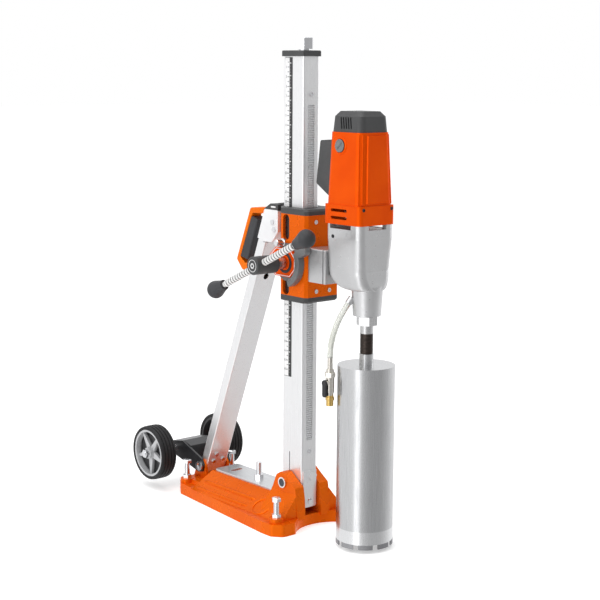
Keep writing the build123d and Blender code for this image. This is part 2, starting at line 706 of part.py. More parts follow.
with BuildPart() as glide_pads:
    for side in (1, -1):
        with BuildSketch(Plane.YZ.offset(side * (COLUMN_W / 2 + 0.3))):
            for pad_z, pad_h in zip(PAD_Z, PAD_H):
                with Locations((PAD_Y, pad_z)):
                    SlotOverall(pad_h, SLOT_W, rotation=90)
        extrude(amount=side * 18)
save(glide_pads, "glide_pads")

with BuildPart() as carriage_screws:
    with BuildSketch(Plane.XZ.offset(-CARRIAGE_FRONT)):
        with Locations((-20, 662), (20, 662), (-18, 517), (18, 517)):
            Circle(4.5)
    extrude(amount=1.5)
    with BuildSketch(Plane.XZ.offset(-CARRIAGE_FRONT + 1.5)):
        with Locations((-20, 662), (20, 662), (-18, 517), (18, 517)):
            RegularPolygon(2.2, 6, major_radius=False)
    extrude(amount=-1.2, mode=Mode.SUBTRACT)
save(carriage_screws, "carriage_screws")

# Bearing plate of the feed: a long eight-sided flange on a neck that the lock lever turns on.
PLATE_INNER_X = -CARRIAGE_HALF - 3.4
with BuildPart() as feed_bearing_plate:
    with BuildSketch(Plane.YZ.offset(PLATE_INNER_X)):
        with BuildLine():
            Polyline((-49, FEED_Z + 12), (-32, FEED_Z + 30), (16, FEED_Z + 30), (34, FEED_Z + 14),
                     (34, FEED_Z - 14), (16, FEED_Z - 30), (-32, FEED_Z - 30), (-49, FEED_Z - 12), close=True)
        make_face()
    extrude(amount=-6)
    with BuildSketch(Plane.YZ.offset(-CARRIAGE_HALF)):
        with Locations((CRANK_Y, FEED_Z)):
            Circle(16)
    extrude(amount=-12)
    chamfer(feed_bearing_plate.faces().sort_by(Axis.X)[0].edges(), 1)
    with BuildSketch(Plane.YZ.offset(-CARRIAGE_HALF)):
        with Locations((CRANK_Y, FEED_Z)):
            Circle(8 + FIT)
    extrude(amount=-12, mode=Mode.SUBTRACT)
save(feed_bearing_plate, "feed_bearing_plate")

LOCK_X = -CARRIAGE_HALF - GAP
with BuildPart() as lock_lever:
    # thin ring behind the bearing plate
    with BuildSketch(Plane.YZ.offset(LOCK_X)):
        with Locations((CRANK_Y, FEED_Z)):
            Circle(40)
            Circle(16 + FIT, mode=Mode.SUBTRACT)
    extrude(amount=-2.6)
    # thick crescent round the front of the plate, with a thumb tab
    with BuildSketch(Plane.YZ.offset(LOCK_X)) as crescent:
        with Locations((CRANK_Y, FEED_Z)):
            Circle(52)
            Circle(38, mode=Mode.SUBTRACT)
        with BuildLine():
            Polyline((CRANK_Y, FEED_Z), (CRANK_Y - 70, FEED_Z + 46), (CRANK_Y - 70, FEED_Z - 70),
                     (CRANK_Y - 24, FEED_Z - 70), close=True)
        make_face(mode=Mode.INTERSECT)
        with Locations((CRANK_Y - 56, FEED_Z + 28)):
            RectangleRounded(34, 20, 8, rotation=-25)
    extrude(amount=-16)
    fillet(lock_lever.faces().sort_by(Axis.X)[0].outer_wire().edges(), 3)
save(lock_lever, "lock_lever")

# ---- feed gears and crank -------------------------------------------------------------------------------
# The rack has a gap at the pinion's height, so a pinion tooth points at it (towards +Y).
with BuildPart() as feed_pinion:
    extrude(gear_sketch(feed_plane(-RACK_W / 2, PINION_Y), PINION_TEETH, FEED_MODULE, 0), amount=RACK_W)
    with BuildSketch(feed_plane(-44, PINION_Y)):
        Circle(6)
    extrude(amount=44 + 28)
    reduction_phase = 180 / REDUCTION_TEETH
    extrude(gear_sketch(feed_plane(-40, PINION_Y), REDUCTION_TEETH, FEED_MODULE, reduction_phase), amount=10)
save(feed_pinion, "feed_pinion")

with BuildPart() as crank_shaft:
    extrude(gear_sketch(feed_plane(-40, CRANK_Y), CRANK_TEETH, FEED_MODULE, 180), amount=10)
    with BuildSketch(feed_plane(-26, CRANK_Y)):
        Circle(6)
    extrude(amount=-86)
    with BuildSketch(feed_plane(-43, CRANK_Y)):
        Circle(8)
    extrude(amount=-44)
    with BuildSketch(feed_plane(COLLAR_START, CRANK_Y)):
        Circle(13)
    extrude(amount=HUB_START - COLLAR_START)
    chamfer(crank_shaft.edges().filter_by(GeomType.CIRCLE).filter_by(lambda edge: edge.radius > 12), 1)
save(crank_shaft, "crank_shaft")

crank_along = (0, cos(radians(CRANK_ANGLE)), sin(radians(CRANK_ANGLE)))
crank_across = (0, -sin(radians(CRANK_ANGLE)), cos(radians(CRANK_ANGLE)))
crank_centre = (CRANK_X, CRANK_Y, FEED_Z)
bar_plane = Plane(origin=crank_centre, x_dir=(1, 0, 0), z_dir=crank_along)
# plane that holds the bar's axis, with its first direction along X and its second along the bar
knob_plane = Plane(origin=crank_centre, x_dir=(1, 0, 0), z_dir=tuple(-part for part in crank_across))

with BuildPart() as crank_hub:
    with BuildSketch(feed_plane(HUB_START, CRANK_Y)):
        Circle(HUB_R)
    extrude(amount=HUB_END - HUB_START)
    fillet(crank_hub.edges(), 2.5)
    with BuildSketch(feed_plane(HUB_START, CRANK_Y)):
        Circle(8)
    extrude(amount=-4, mode=Mode.SUBTRACT)
    with BuildSketch(feed_plane(HUB_START, CRANK_Y)):
        Circle(6)
    extrude(amount=-29, mode=Mode.SUBTRACT)
    with BuildSketch(bar_plane.offset(-HUB_R - 1)):
        Circle(CRANK_BAR_R)
    extrude(amount=2 * HUB_R + 2, mode=Mode.SUBTRACT)
save(crank_hub, "crank_hub")

KNOB_START = CRANK_REACH - 36
RIB_PITCH = 8.6
RIB_W = 5.4
with BuildPart(bar_plane) as crank_bar:
    Cylinder(CRANK_BAR_R - 1.5, 2 * KNOB_START + 40)
    Cylinder(CRANK_BAR_R, 2 * HUB_R)
    rib_count = int((KNOB_START - HUB_R - 3) / RIB_PITCH)
    rib_places = [HUB_R + 4 + RIB_PITCH * rib for rib in range(rib_count)]
    with Locations([(0, 0, side * place) for place in rib_places for side in (1, -1)]):
        Cylinder(CRANK_BAR_R, RIB_W)
save(crank_bar, "crank_bar")

with BuildPart() as crank_knobs:
    for side in (1, -1):
        with BuildSketch(knob_plane):
            with BuildLine():
                Line((0, side * KNOB_START), (CRANK_BAR_R + 3.5, side * KNOB_START))
                Spline((CRANK_BAR_R + 3.5, side * KNOB_START), (KNOB_R - 2, side * (CRANK_REACH - 12)),
                       (KNOB_R, side * CRANK_REACH), (0, side * (CRANK_REACH + 17)),
                       tangents=((0.15, side), (-1, 0)))
                Line((0, side * (CRANK_REACH + 17)), (0, side * KNOB_START))
            make_face()
        revolve(axis=Axis(crank_centre, crank_along))
    with BuildSketch(bar_plane.offset(-KNOB_START - 20)):
        Circle(CRANK_BAR_R - 1.5)
    extrude(amount=2 * KNOB_START + 40, mode=Mode.SUBTRACT)
save(crank_knobs, "crank_knobs")

# ---- gearbox and motor ----------------------------------------------------------------------------------
NECK_TOP = 538.0
NECK_BOTTOM = 484.0
CAVITY_FLOOR = 582.0
GEAR_SPACE = (77, 92)     # width and depth of the space for the gears
SHOULDER_Z = 575.0        # the housing rounds in from here down to its neck
HOUSING_BOTTOM = 536.0
HOUSING_REAR = -132.0
HOUSING_FRONT = -236.5
with BuildPart() as mount_block:
    with BuildSketch(Plane.XY.offset(541)):
        with Locations((0, (CARRIAGE_FRONT - GAP - 132) / 2)):
            Rectangle(90, 132 + CARRIAGE_FRONT - GAP)
    extrude(amount=70)
    fillet(mount_block.edges().filter_by(Axis.Z).group_by(Axis.Y)[-1], 9)
    fillet(mount_block.faces().sort_by(Axis.Z)[-1].edges(), 3)
    with BuildSketch(Plane.XY.offset(541)):
        with Locations((-45, -124), (45, -124)):
            Rectangle(5, 4)
    extrude(amount=70, mode=Mode.SUBTRACT)
save(mount_block, "mount_block")



def housing_section(z, half_x, front, rear, radius):
    """Face at one level of the gearbox housing."""
    with BuildSketch(Plane.XY.offset(z), mode=Mode.PRIVATE) as section:
        with Locations((0, (front + rear) / 2)):
            RectangleRounded(2 * half_x, rear - front, radius)
    return section.sketch.faces()[0]


with BuildPart() as gearbox_housing:
    top_section = housing_section(640, 48, HOUSING_FRONT, HOUSING_REAR, 15)
    extrude(top_section, amount=BAND_BOTTOM - 640, dir=(0, 0, 1))
    loft([top_section, housing_section(SHOULDER_Z, 44.5, HOUSING_FRONT + 3, HOUSING_REAR, 18)])
    shoulder = []
    for turn in (0, 0.3, 0.55, 0.8, 1):
        drop = sin(radians(90 * turn))
        draw_in = 1 - cos(radians(90 * turn))
        shoulder.append(housing_section(
            SHOULDER_Z + (HOUSING_BOTTOM - SHOULDER_Z) * drop, 44.5 - 11 * draw_in,
            HOUSING_FRONT + 3 - 7 * turn, HOUSING_REAR - 40 * draw_in, 18 + 14 * draw_in))
    loft(shoulder)
    with BuildSketch(Plane.XY.offset(NECK_BOTTOM)):
        with Locations((0, BIT_Y)):
            Circle(28.5)
    with BuildSketch(Plane.XY.offset(NECK_TOP + 6)):
        with Locations((0, BIT_Y)):
            Circle(32)
    loft()
    # spigot for the water hose
    hose_exit = Plane(origin=HOSE_ROUTE[0], z_dir=Vector(*HOSE_ROUTE[1]) - Vector(*HOSE_ROUTE[0]))
    with BuildSketch(hose_exit):
        Circle(HOSE_R + 1)
    extrude(amount=-14)
    # gear space, vent slots under the motor, spindle bore with its two bearing seats
    with BuildSketch(Plane.XY.offset(CAVITY_FLOOR)):
        with Locations((0, MOTOR_Y)):
            RectangleRounded(*GEAR_SPACE, 9)
    extrude(amount=100, mode=Mode.SUBTRACT)
    with BuildSketch(Plane.XY.offset(BAND_BOTTOM)):
        with Locations((0, MOTOR_Y + 3)):
            Rectangle(2 * BAND_HALF_X + 2, 62)
        with Locations((0, MOTOR_Y - 40)):
            Rectangle(48, 2 * BAND_HALF_Y - 60)
    extrude(amount=-9, mode=Mode.SUBTRACT)
    with Locations((0, BIT_Y, CAVITY_FLOOR)):
        Hole(13.5)
    with BuildSketch(Plane.XY.offset(NECK_BOTTOM)):
        with Locations((0, BIT_Y)):
            Circle(20)
    extrude(amount=20, mode=Mode.SUBTRACT)
    with BuildSketch(Plane.XY.offset(CAVITY_FLOOR)):
        with Locations((0, BIT_Y)):
            Circle(20)
    extrude(amount=-14, mode=Mode.SUBTRACT)
    with BuildSketch(Plane.XY.offset(CAVITY_FLOOR)):
        with Locations((LAY_X, LAY_Y)):
            Circle(5 + FIT)
    extrude(amount=-8, mode=Mode.SUBTRACT)
save(gearbox_housing, "gearbox_housing")

with BuildPart() as gearbox_cover:
    with BuildSketch(Plane.XY.offset(648)):
        with Locations((0, MOTOR_Y)):
            RectangleRounded(*GEAR_SPACE, 9)
        with Locations((0, MOTOR_Y)):
            Circle(11, mode=Mode.SUBTRACT)
    extrude(amount=10)
    with BuildSketch(Plane.XY.offset(648)):
        with Locations((LAY_X, LAY_Y)):
            Circle(5 + FIT)
    extrude(amount=5, mode=Mode.SUBTRACT)
save(gearbox_cover, "gearbox_cover")


def housing_loft(inset):
    """Tapering solid of the motor housing, drawn in by inset on every side."""
    with BuildPart(mode=Mode.PRIVATE) as shell:
        with BuildSketch(Plane.XY.offset(BAND_BOTTOM)):
            with Locations((0, MOTOR_Y)):
                RectangleRounded(2 * (48 - inset), 2 * (54 - inset), 17 - inset)
        with BuildSketch(Plane.XY.offset(MOTOR_CAP_Z)):
            with Locations((0, MOTOR_Y)):
                RectangleRounded(2 * (41 - inset), 2 * (47 - inset), 15 - inset)
        loft()
    return shell.part


with BuildPart() as motor_housing:
    add(housing_loft(0))
    with BuildSketch(Plane.XY.offset(BAND_BOTTOM)):
        with Locations((0, MOTOR_Y)):
            RectangleRounded(2 * BAND_HALF_X, 2 * BAND_HALF_Y, 10)
    extrude(amount=BAND_TOP - BAND_BOTTOM)
    add(housing_loft(4), mode=Mode.SUBTRACT)
    # air slots through the sides of the band
    with BuildSketch(Plane.YZ.offset(-BAND_HALF_X - 1)):
        with Locations((MOTOR_Y + 8, 681), (MOTOR_Y + 8, 696)):
            SlotOverall(48, 6)
    extrude(amount=2 * BAND_HALF_X + 2, mode=Mode.SUBTRACT)
    with BuildSketch(Plane.YZ.offset(-60)):
        with Locations((MOTOR_Y + 12, 824)):
            Circle(13)
    extrude(amount=120, mode=Mode.SUBTRACT)
save(motor_housing, "motor_housing")

with BuildPart() as motor_cap:
    with BuildSketch(Plane.XY.offset(MOTOR_CAP_Z)):
        with Locations((0, MOTOR_Y)):
            RectangleRounded(79, 91, 15)
    with BuildSketch(Plane.XY.offset(MOTOR_TOP - 10)):
        with Locations((0, MOTOR_Y)):
            RectangleRounded(73, 85, 13)
    loft()
    with BuildSketch(Plane.XY.offset(MOTOR_TOP - 10)):
        with Locations((0, MOTOR_Y)):
            RectangleRounded(73, 85, 13)
    with BuildSketch(Plane.XY.offset(MOTOR_TOP)):
        with Locations((0, MOTOR_Y)):
            RectangleRounded(56, 68, 10)
    loft()
    with BuildSketch(Plane.XY.offset(MOTOR_CAP_Z)):
        with Locations((0, MOTOR_Y)):
            RectangleRounded(60, 74, 12)
    extrude(amount=26, mode=Mode.SUBTRACT)
    # bridge that holds the upper bearing
    with BuildSketch(Plane.XY.offset(MOTOR_CAP_Z)):
        with Locations((0, MOTOR_Y)):
            Rectangle(60.5, 28)
            Circle(11, mode=Mode.SUBTRACT)
    extrude(amount=9)
    # slanted air slots on both sides
    with BuildSketch(Plane.YZ.offset(-40)):
        with Locations([(MOTOR_Y + 14 - 7 * slot, 869) for slot in range(5)]):
            SlotOverall(24, 3.4, rotation=78)
    extrude(amount=80, mode=Mode.SUBTRACT)
save(motor_cap, "motor_cap")

with BuildPart() as stator:
    with BuildSketch(Plane.XY.offset(712)):
        with Locations((0, MOTOR_Y)):
            RectangleRounded(60, 76, 12)
            Circle(25.5, mode=Mode.SUBTRACT)
    extrude(amount=64)
save(stator, "stator")

with BuildPart() as carbon_brushes:
    for side in (1, -1):
        brush_plane = Plane(origin=(side * 15.4, MOTOR_Y + 12, 824), x_dir=(0, 1, 0), z_dir=(side, 0, 0))
        with BuildSketch(brush_plane.offset(19.5)):
            Circle(13)
        extrude(amount=9)
        with BuildSketch(brush_plane.offset(28.5)):
            Rectangle(20, 3)
        extrude(amount=-2, mode=Mode.SUBTRACT)
        with BuildSketch(brush_plane):
            with Locations((-12, 0)):
                Rectangle(6, 10)
        extrude(amount=21.5)
        with BuildSketch(brush_plane.offset(19.5)):
            with Locations((-6, 0)):
                Rectangle(14, 10)
        extrude(amount=2)
save(carbon_brushes, "carbon_brushes")

# Upper and lower bearings of the motor shaft, and the two bearings of the spindle.
BEARINGS = ((MOTOR_Y, 649, 8, 5, 11), (MOTOR_Y, MOTOR_CAP_Z + 1, 8, 5, 11),
            (BIT_Y, NECK_BOTTOM + 2, 16, 12.5, 20), (BIT_Y, CAVITY_FLOOR - 14, 13, 12.5, 20))
with BuildPart() as shaft_bearings:
    for bearing_y, bearing_z, height, bore_r, outer_r in BEARINGS:
        with BuildSketch(Plane.XY.offset(bearing_z)):
            with Locations((0, bearing_y)):
                Circle(outer_r)
                Circle(bore_r + FIT, mode=Mode.SUBTRACT)
        extrude(amount=height)
save(shaft_bearings, "shaft_bearings")

SWITCH_Z = 790.0
with BuildPart() as switch_box:
    with BuildSketch(Plane.YZ.offset(-29)):
        with BuildLine():
            Polyline((-150, 836), (-95, 832), (-83, 744), (-120, 722), (-150, 722), close=True)
        make_face()
    extrude(amount=58)
    fillet(switch_box.edges().filter_by(Axis.X).filter_by(lambda edge: edge.center().Y > -125), 5)
    with BuildSketch(Plane.YZ.offset(-25)):
        with BuildLine():
            Polyline((-150, 832), (-99, 828), (-88, 747), (-121, 727), (-150, 727), close=True)
        make_face()
    extrude(amount=50, mode=Mode.SUBTRACT)
    # socket for the mains lead, and seat for the rocker
    with BuildSketch(Plane(origin=(0, -101, 734), z_dir=(0, 0.51, -0.86))):
        Circle(9)
    extrude(amount=14, both=True)
    rocker_seat = Plane(origin=(21, -124, SWITCH_Z), x_dir=(1, 0, 0), z_dir=(0, 1, 0))
    with BuildSketch(rocker_seat.offset(-3)):
        Rectangle(15, 24)
    extrude(amount=30)
    with BuildSketch(rocker_seat):
        Circle(9.4)
    extrude(amount=24, mode=Mode.SUBTRACT)
    add(housing_loft(0), mode=Mode.SUBTRACT)
save(switch_box, "switch_box")

with BuildPart() as power_switch:
    with BuildSketch(rocker_seat.offset(0.3)):
        Circle(9)
        with Locations((8, 9)):
            Rectangle(6, 8, mode=Mode.SUBTRACT)
    extrude(amount=23.4)
save(power_switch, "power_switch")

# ---- turning parts of the drive -------------------------------------------------------------------------


def drive_plane(x, y, z):
    """Level plane on a drive shaft's axis."""
    return Plane(origin=(x, y, z))


to_lay = degrees(atan2(LAY_Y - MOTOR_Y, LAY_X))
to_spindle = degrees(atan2(BIT_Y - LAY_Y, -LAY_X))
with BuildPart() as armature:
    extrude(gear_sketch(drive_plane(0, MOTOR_Y, 622), ARMATURE_TEETH, GEAR_MODULE, to_lay), amount=16)
    for z_from, z_to, radius in ((620, 866, 5), (680, 694, 33), (716, 772, 25), (800, 838, 15)):
        with BuildSketch(drive_plane(0, MOTOR_Y, z_from)):
            Circle(radius)
        extrude(amount=z_to - z_from)
save(armature, "armature")

with BuildPart() as layshaft:
    lay_gear_phase = to_lay + 180 + 180 / LAY_GEAR_TEETH
    extrude(gear_sketch(drive_plane(LAY_X, LAY_Y, 624), LAY_GEAR_TEETH, GEAR_MODULE, lay_gear_phase), amount=12)
    extrude(gear_sketch(drive_plane(LAY_X, LAY_Y, 588), LAY_PINION_TEETH, GEAR_MODULE, to_spindle), amount=16)
    with BuildSketch(drive_plane(LAY_X, LAY_Y, CAVITY_FLOOR - 7)):
        Circle(5)
    extrude(amount=652 - CAVITY_FLOOR + 7)
save(layshaft, "layshaft")

SPINDLE_HEX_Z = 464.0
COLLAR_Z = 447.0
THREAD_Z = 405.0
with BuildPart() as spindle_shaft:
    spindle_phase = to_spindle + 180 + 180 / SPINDLE_TEETH
    extrude(gear_sketch(drive_plane(0, BIT_Y, 590), SPINDLE_TEETH, GEAR_MODULE, spindle_phase), amount=12)
    with BuildSketch(drive_plane(0, BIT_Y, COLLAR_Z)):
        Circle(12.5)
    extrude(amount=608 - COLLAR_Z)
    with BuildSketch(drive_plane(0, BIT_Y, SPINDLE_HEX_Z)):
        RegularPolygon(19, 6, major_radius=False)
    extrude(amount=18)
    with BuildSketch(drive_plane(0, BIT_Y, COLLAR_Z)):
        Circle(13.5)
    extrude(amount=SPINDLE_HEX_Z - COLLAR_Z)
save(spindle_shaft, "spindle_shaft")

with BuildPart() as bit_adapter:
    with BuildSketch(drive_plane(0, BIT_Y, THREAD_Z)):
        Circle(12)
    extrude(amount=COLLAR_Z - THREAD_Z)
    with Locations([(0, BIT_Y, THREAD_Z + 2 + 3 * turn) for turn in range(14)]):
        Cylinder(13.2, 1.6)
save(bit_adapter, "bit_adapter")

with BuildPart() as core_barrel:
    with BuildSketch(drive_plane(0, BIT_Y, BARREL_BOTTOM)):
        Circle(BARREL_R)
        Circle(BARREL_R - BARREL_WALL, mode=Mode.SUBTRACT)
    extrude(amount=BARREL_TOP - BARREL_BOTTOM)
    with BuildSketch(drive_plane(0, BIT_Y, BARREL_TOP - 5)):
        Circle(BARREL_R - BARREL_WALL)
    extrude(amount=5)
    with BuildSketch(drive_plane(0, BIT_Y, BARREL_TOP)):
        Circle(14.5)
        Rectangle(26, 40, mode=Mode.INTERSECT)
    extrude(amount=THREAD_Z - BARREL_TOP)
save(core_barrel, "core_barrel")

NOTCH_W = 11.0
with BuildPart() as diamond_segments:
    with BuildSketch(drive_plane(0, BIT_Y, SEGMENT_TIP_Z)):
        Circle(BARREL_R + 0.3)
        Circle(BARREL_R - BARREL_WALL - 0.5, mode=Mode.SUBTRACT)
    extrude(amount=BARREL_BOTTOM - SEGMENT_TIP_Z)
    with BuildSketch(drive_plane(0, BIT_Y, SEGMENT_TIP_Z)):
        with PolarLocations(BARREL_R, SEGMENTS, start_angle=90):
            Rectangle(12, NOTCH_W)
    extrude(amount=BARREL_BOTTOM - SEGMENT_TIP_Z, mode=Mode.SUBTRACT)
save(diamond_segments, "diamond_segments")

# ---- water supply ---------------------------------------------------------------------------------------
route = [Vector(*point) for point in HOSE_ROUTE]
runs = [b - a for a, b in zip(route, route[1:])]
bend_radii = []
for before, after in zip(runs, runs[1:]):
    turn = radians(before.get_angle(after))
    bend_radii.append(0.45 * min(before.length, after.length) / tan(turn / 2))
print("hose bend radii", [round(radius) for radius in bend_radii])
with BuildPart() as water_hose:
    with BuildLine() as hose_path:
        FilletPolyline(*HOSE_ROUTE, radius=bend_radii)
    with BuildSketch(Plane(origin=route[0], z_dir=runs[0])):
        Circle(HOSE_R)
    sweep()
print("hose length", round(hose_path.wire().length, 1), "volume ratio",
      round(water_hose.part.volume / (pi * HOSE_R**2 * hose_path.wire().length), 4))
save(water_hose, "water_hose")

STEM_Z = 344.0
with BuildPart() as valve_body:
    for z_from, z_to, radius in ((372, 396, 5.5), (366, 372, 8), (324, 366, 9), (318, 324, 7.5)):
        with BuildSketch(Plane.XY.offset(z_from)):
            with Locations((VALVE_X, VALVE_Y)):
                Circle(radius)
        extrude(amount=z_to - z_from)
    with BuildSketch(Plane.XY.offset(356)):
        with Locations((VALVE_X, VALVE_Y)):
            RegularPolygon(10, 6, major_radius=False)
    extrude(amount=10)
    with BuildSketch(Plane.YZ.offset(VALVE_X - 12)):
        with Locations((VALVE_Y, STEM_Z)):
            Circle(5)
    extrude(amount=8)
save(valve_body, "valve_body")

with BuildPart() as water_connector:
    for z_from, z_to, radius in ((296, 318, 7.5), (308, 314, 9)):
        with BuildSketch(Plane.XY.offset(z_from)):
            with Locations((VALVE_X, VALVE_Y)):
                Circle(radius)
        extrude(amount=z_to - z_from)
    with Locations((VALVE_X, VALVE_Y, 296)):
        Hole(4, depth=18)
save(water_connector, "water_connector")

with BuildPart() as valve_lever:
    with BuildSketch(Plane.YZ.offset(VALVE_X - 12.1)):
        with Locations((VALVE_Y, STEM_Z)):
            Circle(7)
        with Locations((VALVE_Y, STEM_Z - 14)):
            RectangleRounded(11, 30, 5)
    extrude(amount=-5)
    fillet(valve_lever.faces().sort_by(Axis.X)[0].outer_wire().edges(), 1.5)
save(valve_lever, "valve_lever")
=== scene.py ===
"""Core drill rig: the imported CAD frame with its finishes, small details, studio light and camera.

Metres, +Z up.
"""
import json
from math import cos, pi, radians, sin

import bmesh
import bpy
from mathutils import Matrix, Vector


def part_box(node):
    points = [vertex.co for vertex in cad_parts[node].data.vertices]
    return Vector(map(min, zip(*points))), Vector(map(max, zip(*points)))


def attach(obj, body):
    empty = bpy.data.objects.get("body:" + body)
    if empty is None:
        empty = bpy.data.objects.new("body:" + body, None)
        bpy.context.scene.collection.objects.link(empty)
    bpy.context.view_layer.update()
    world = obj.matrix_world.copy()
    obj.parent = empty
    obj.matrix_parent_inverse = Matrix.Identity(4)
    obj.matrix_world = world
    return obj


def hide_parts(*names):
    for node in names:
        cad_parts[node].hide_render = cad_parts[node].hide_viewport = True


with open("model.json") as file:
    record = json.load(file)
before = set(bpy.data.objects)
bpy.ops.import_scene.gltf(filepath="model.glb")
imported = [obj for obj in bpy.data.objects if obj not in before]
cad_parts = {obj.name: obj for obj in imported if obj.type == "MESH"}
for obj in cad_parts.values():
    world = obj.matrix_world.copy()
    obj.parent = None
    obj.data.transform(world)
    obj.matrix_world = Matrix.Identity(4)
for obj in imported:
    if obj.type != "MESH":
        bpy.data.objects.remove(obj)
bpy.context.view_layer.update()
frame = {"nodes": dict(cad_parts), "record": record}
NODES = frame["nodes"]

# ---- camera ---------------------------------------------------------------------------------------------
AZIMUTH = radians(-40.27)
PITCH = radians(9.23)
ROLL = radians(0.31)
CAMERA_PLACE = (-1.933, -2.281, 0.974)
SENSOR_MM = 36.0
LENS_MM = 85.3
forward = Vector((-sin(AZIMUTH) * cos(PITCH), cos(AZIMUTH) * cos(PITCH), -sin(PITCH)))
right = Vector((cos(AZIMUTH), sin(AZIMUTH), 0))
up = right.cross(forward)
rolled_right = right * cos(ROLL) + up * sin(ROLL)
rolled_up = up * cos(ROLL) - right * sin(ROLL)
camera_data = bpy.data.cameras.new("camera")
camera_data.sensor_width = SENSOR_MM
camera_data.lens = LENS_MM
camera_data.clip_end = 100.0
camera = bpy.data.objects.new("camera", camera_data)
camera.matrix_world = Matrix.Translation(CAMERA_PLACE) @ Matrix(
    (rolled_right, rolled_up, -forward)).transposed().to_4x4()
bpy.context.scene.collection.objects.link(camera)
bpy.context.scene.camera = camera


# ---- mesh helpers ---------------------------------------------------------------------------------------
def add_piece(name, mesh_or_curve, body, smooth=30):
    """Link a new piece and let it ride on a body."""
    piece = bpy.data.objects.new(name, mesh_or_curve)
    bpy.context.scene.collection.objects.link(piece)
    if smooth and isinstance(mesh_or_curve, bpy.types.Mesh):
        mesh_or_curve.shade_smooth()
        mesh_or_curve.set_sharp_from_angle(angle=radians(smooth))
    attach(piece, body)
    return piece


def frame_matrix(place, axis, reference=(0, 0, 1)):
    """Matrix whose local Z runs along an axis, at a place."""
    z_axis = Vector(axis).normalized()
    helper = Vector(reference)
    if abs(z_axis.dot(helper)) > 0.99:
        helper = Vector((1, 0, 0))
    x_axis = helper.cross(z_axis).normalized()
    y_axis = z_axis.cross(x_axis)
    turned = Matrix((x_axis, y_axis, z_axis)).transposed().to_4x4()
    return Matrix.Translation(place) @ turned


def lathe(bm, profile, matrix, steps=48):
    """Turn a profile of (radius, height) points about the matrix's Z axis. Ends at radius 0 are closed."""
    rings = []
    for radius, height in profile:
        if radius == 0:
            rings.append([bm.verts.new(matrix @ Vector((0, 0, height)))])
        else:
            rings.append([bm.verts.new(matrix @ Vector((radius * cos(2 * pi * step / steps),
                                                        radius * sin(2 * pi * step / steps), height)))
                          for step in range(steps)])
    for lower, upper in zip(rings, rings[1:]):
        for step in range(steps):
            following = (step + 1) % steps
            if len(lower) == 1:
                bm.faces.new((lower[0], upper[following], upper[step]))
            elif len(upper) == 1:
                bm.faces.new((lower[step], lower[following], upper[0]))
            else:
                bm.faces.new((lower[step], lower[following], upper[following], upper[step]))


def block(bm, low, high, matrix=None):
    """Add a closed box between two corners."""
    corners = [Vector((x, y, z))
               for x in (low[0], high[0]) for y in (low[1], high[1]) for z in (low[2], high[2])]
    verts = [bm.verts.new(matrix @ corner if matrix else corner) for corner in corners]
    for face in ((0, 1, 3, 2), (4, 6, 7, 5), (0, 4, 5, 1), (2, 3, 7, 6), (0, 2, 6, 4), (1, 5, 7, 3)):
        bm.faces.new([verts[corner] for corner in face])


def to_mesh(bm, name):
    """Turn a bmesh into a mesh with outward normals."""
    bmesh.ops.recalc_face_normals(bm, faces=bm.faces)
    mesh = bpy.data.meshes.new(name)
    bm.to_mesh(mesh)
    bm.free()
    return mesh


# ---- water hose -----------------------------------------------------------------------------------------
HOSE_ROUTE = [(-0.031, -0.1866, 0.508), (-0.0405, -0.1795, 0.489), (-0.0485, -0.1715, 0.465),
              (-0.0535, -0.165, 0.439), (-0.056, -0.161, 0.414), (-0.056, -0.161, 0.396)]
hose_curve = bpy.data.curves.new("hose", "CURVE")
hose_curve.dimensions = "3D"
hose_curve.bevel_depth = 1.0
hose_curve.bevel_resolution = 8
hose_curve.resolution_u = 24
hose_curve.use_fill_caps = True
hose_line = hose_curve.splines.new("NURBS")
hose_line.points.add(len(HOSE_ROUTE) - 1)
for point, place in zip(hose_line.points, HOSE_ROUTE):
    point.co = (*place, 1)
    point.radius = 0.006
hose_line.order_u = 3
hose_line.use_endpoint_u = True
hose = add_piece("hose", hose_curve, "carriage")
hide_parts("water_hose")


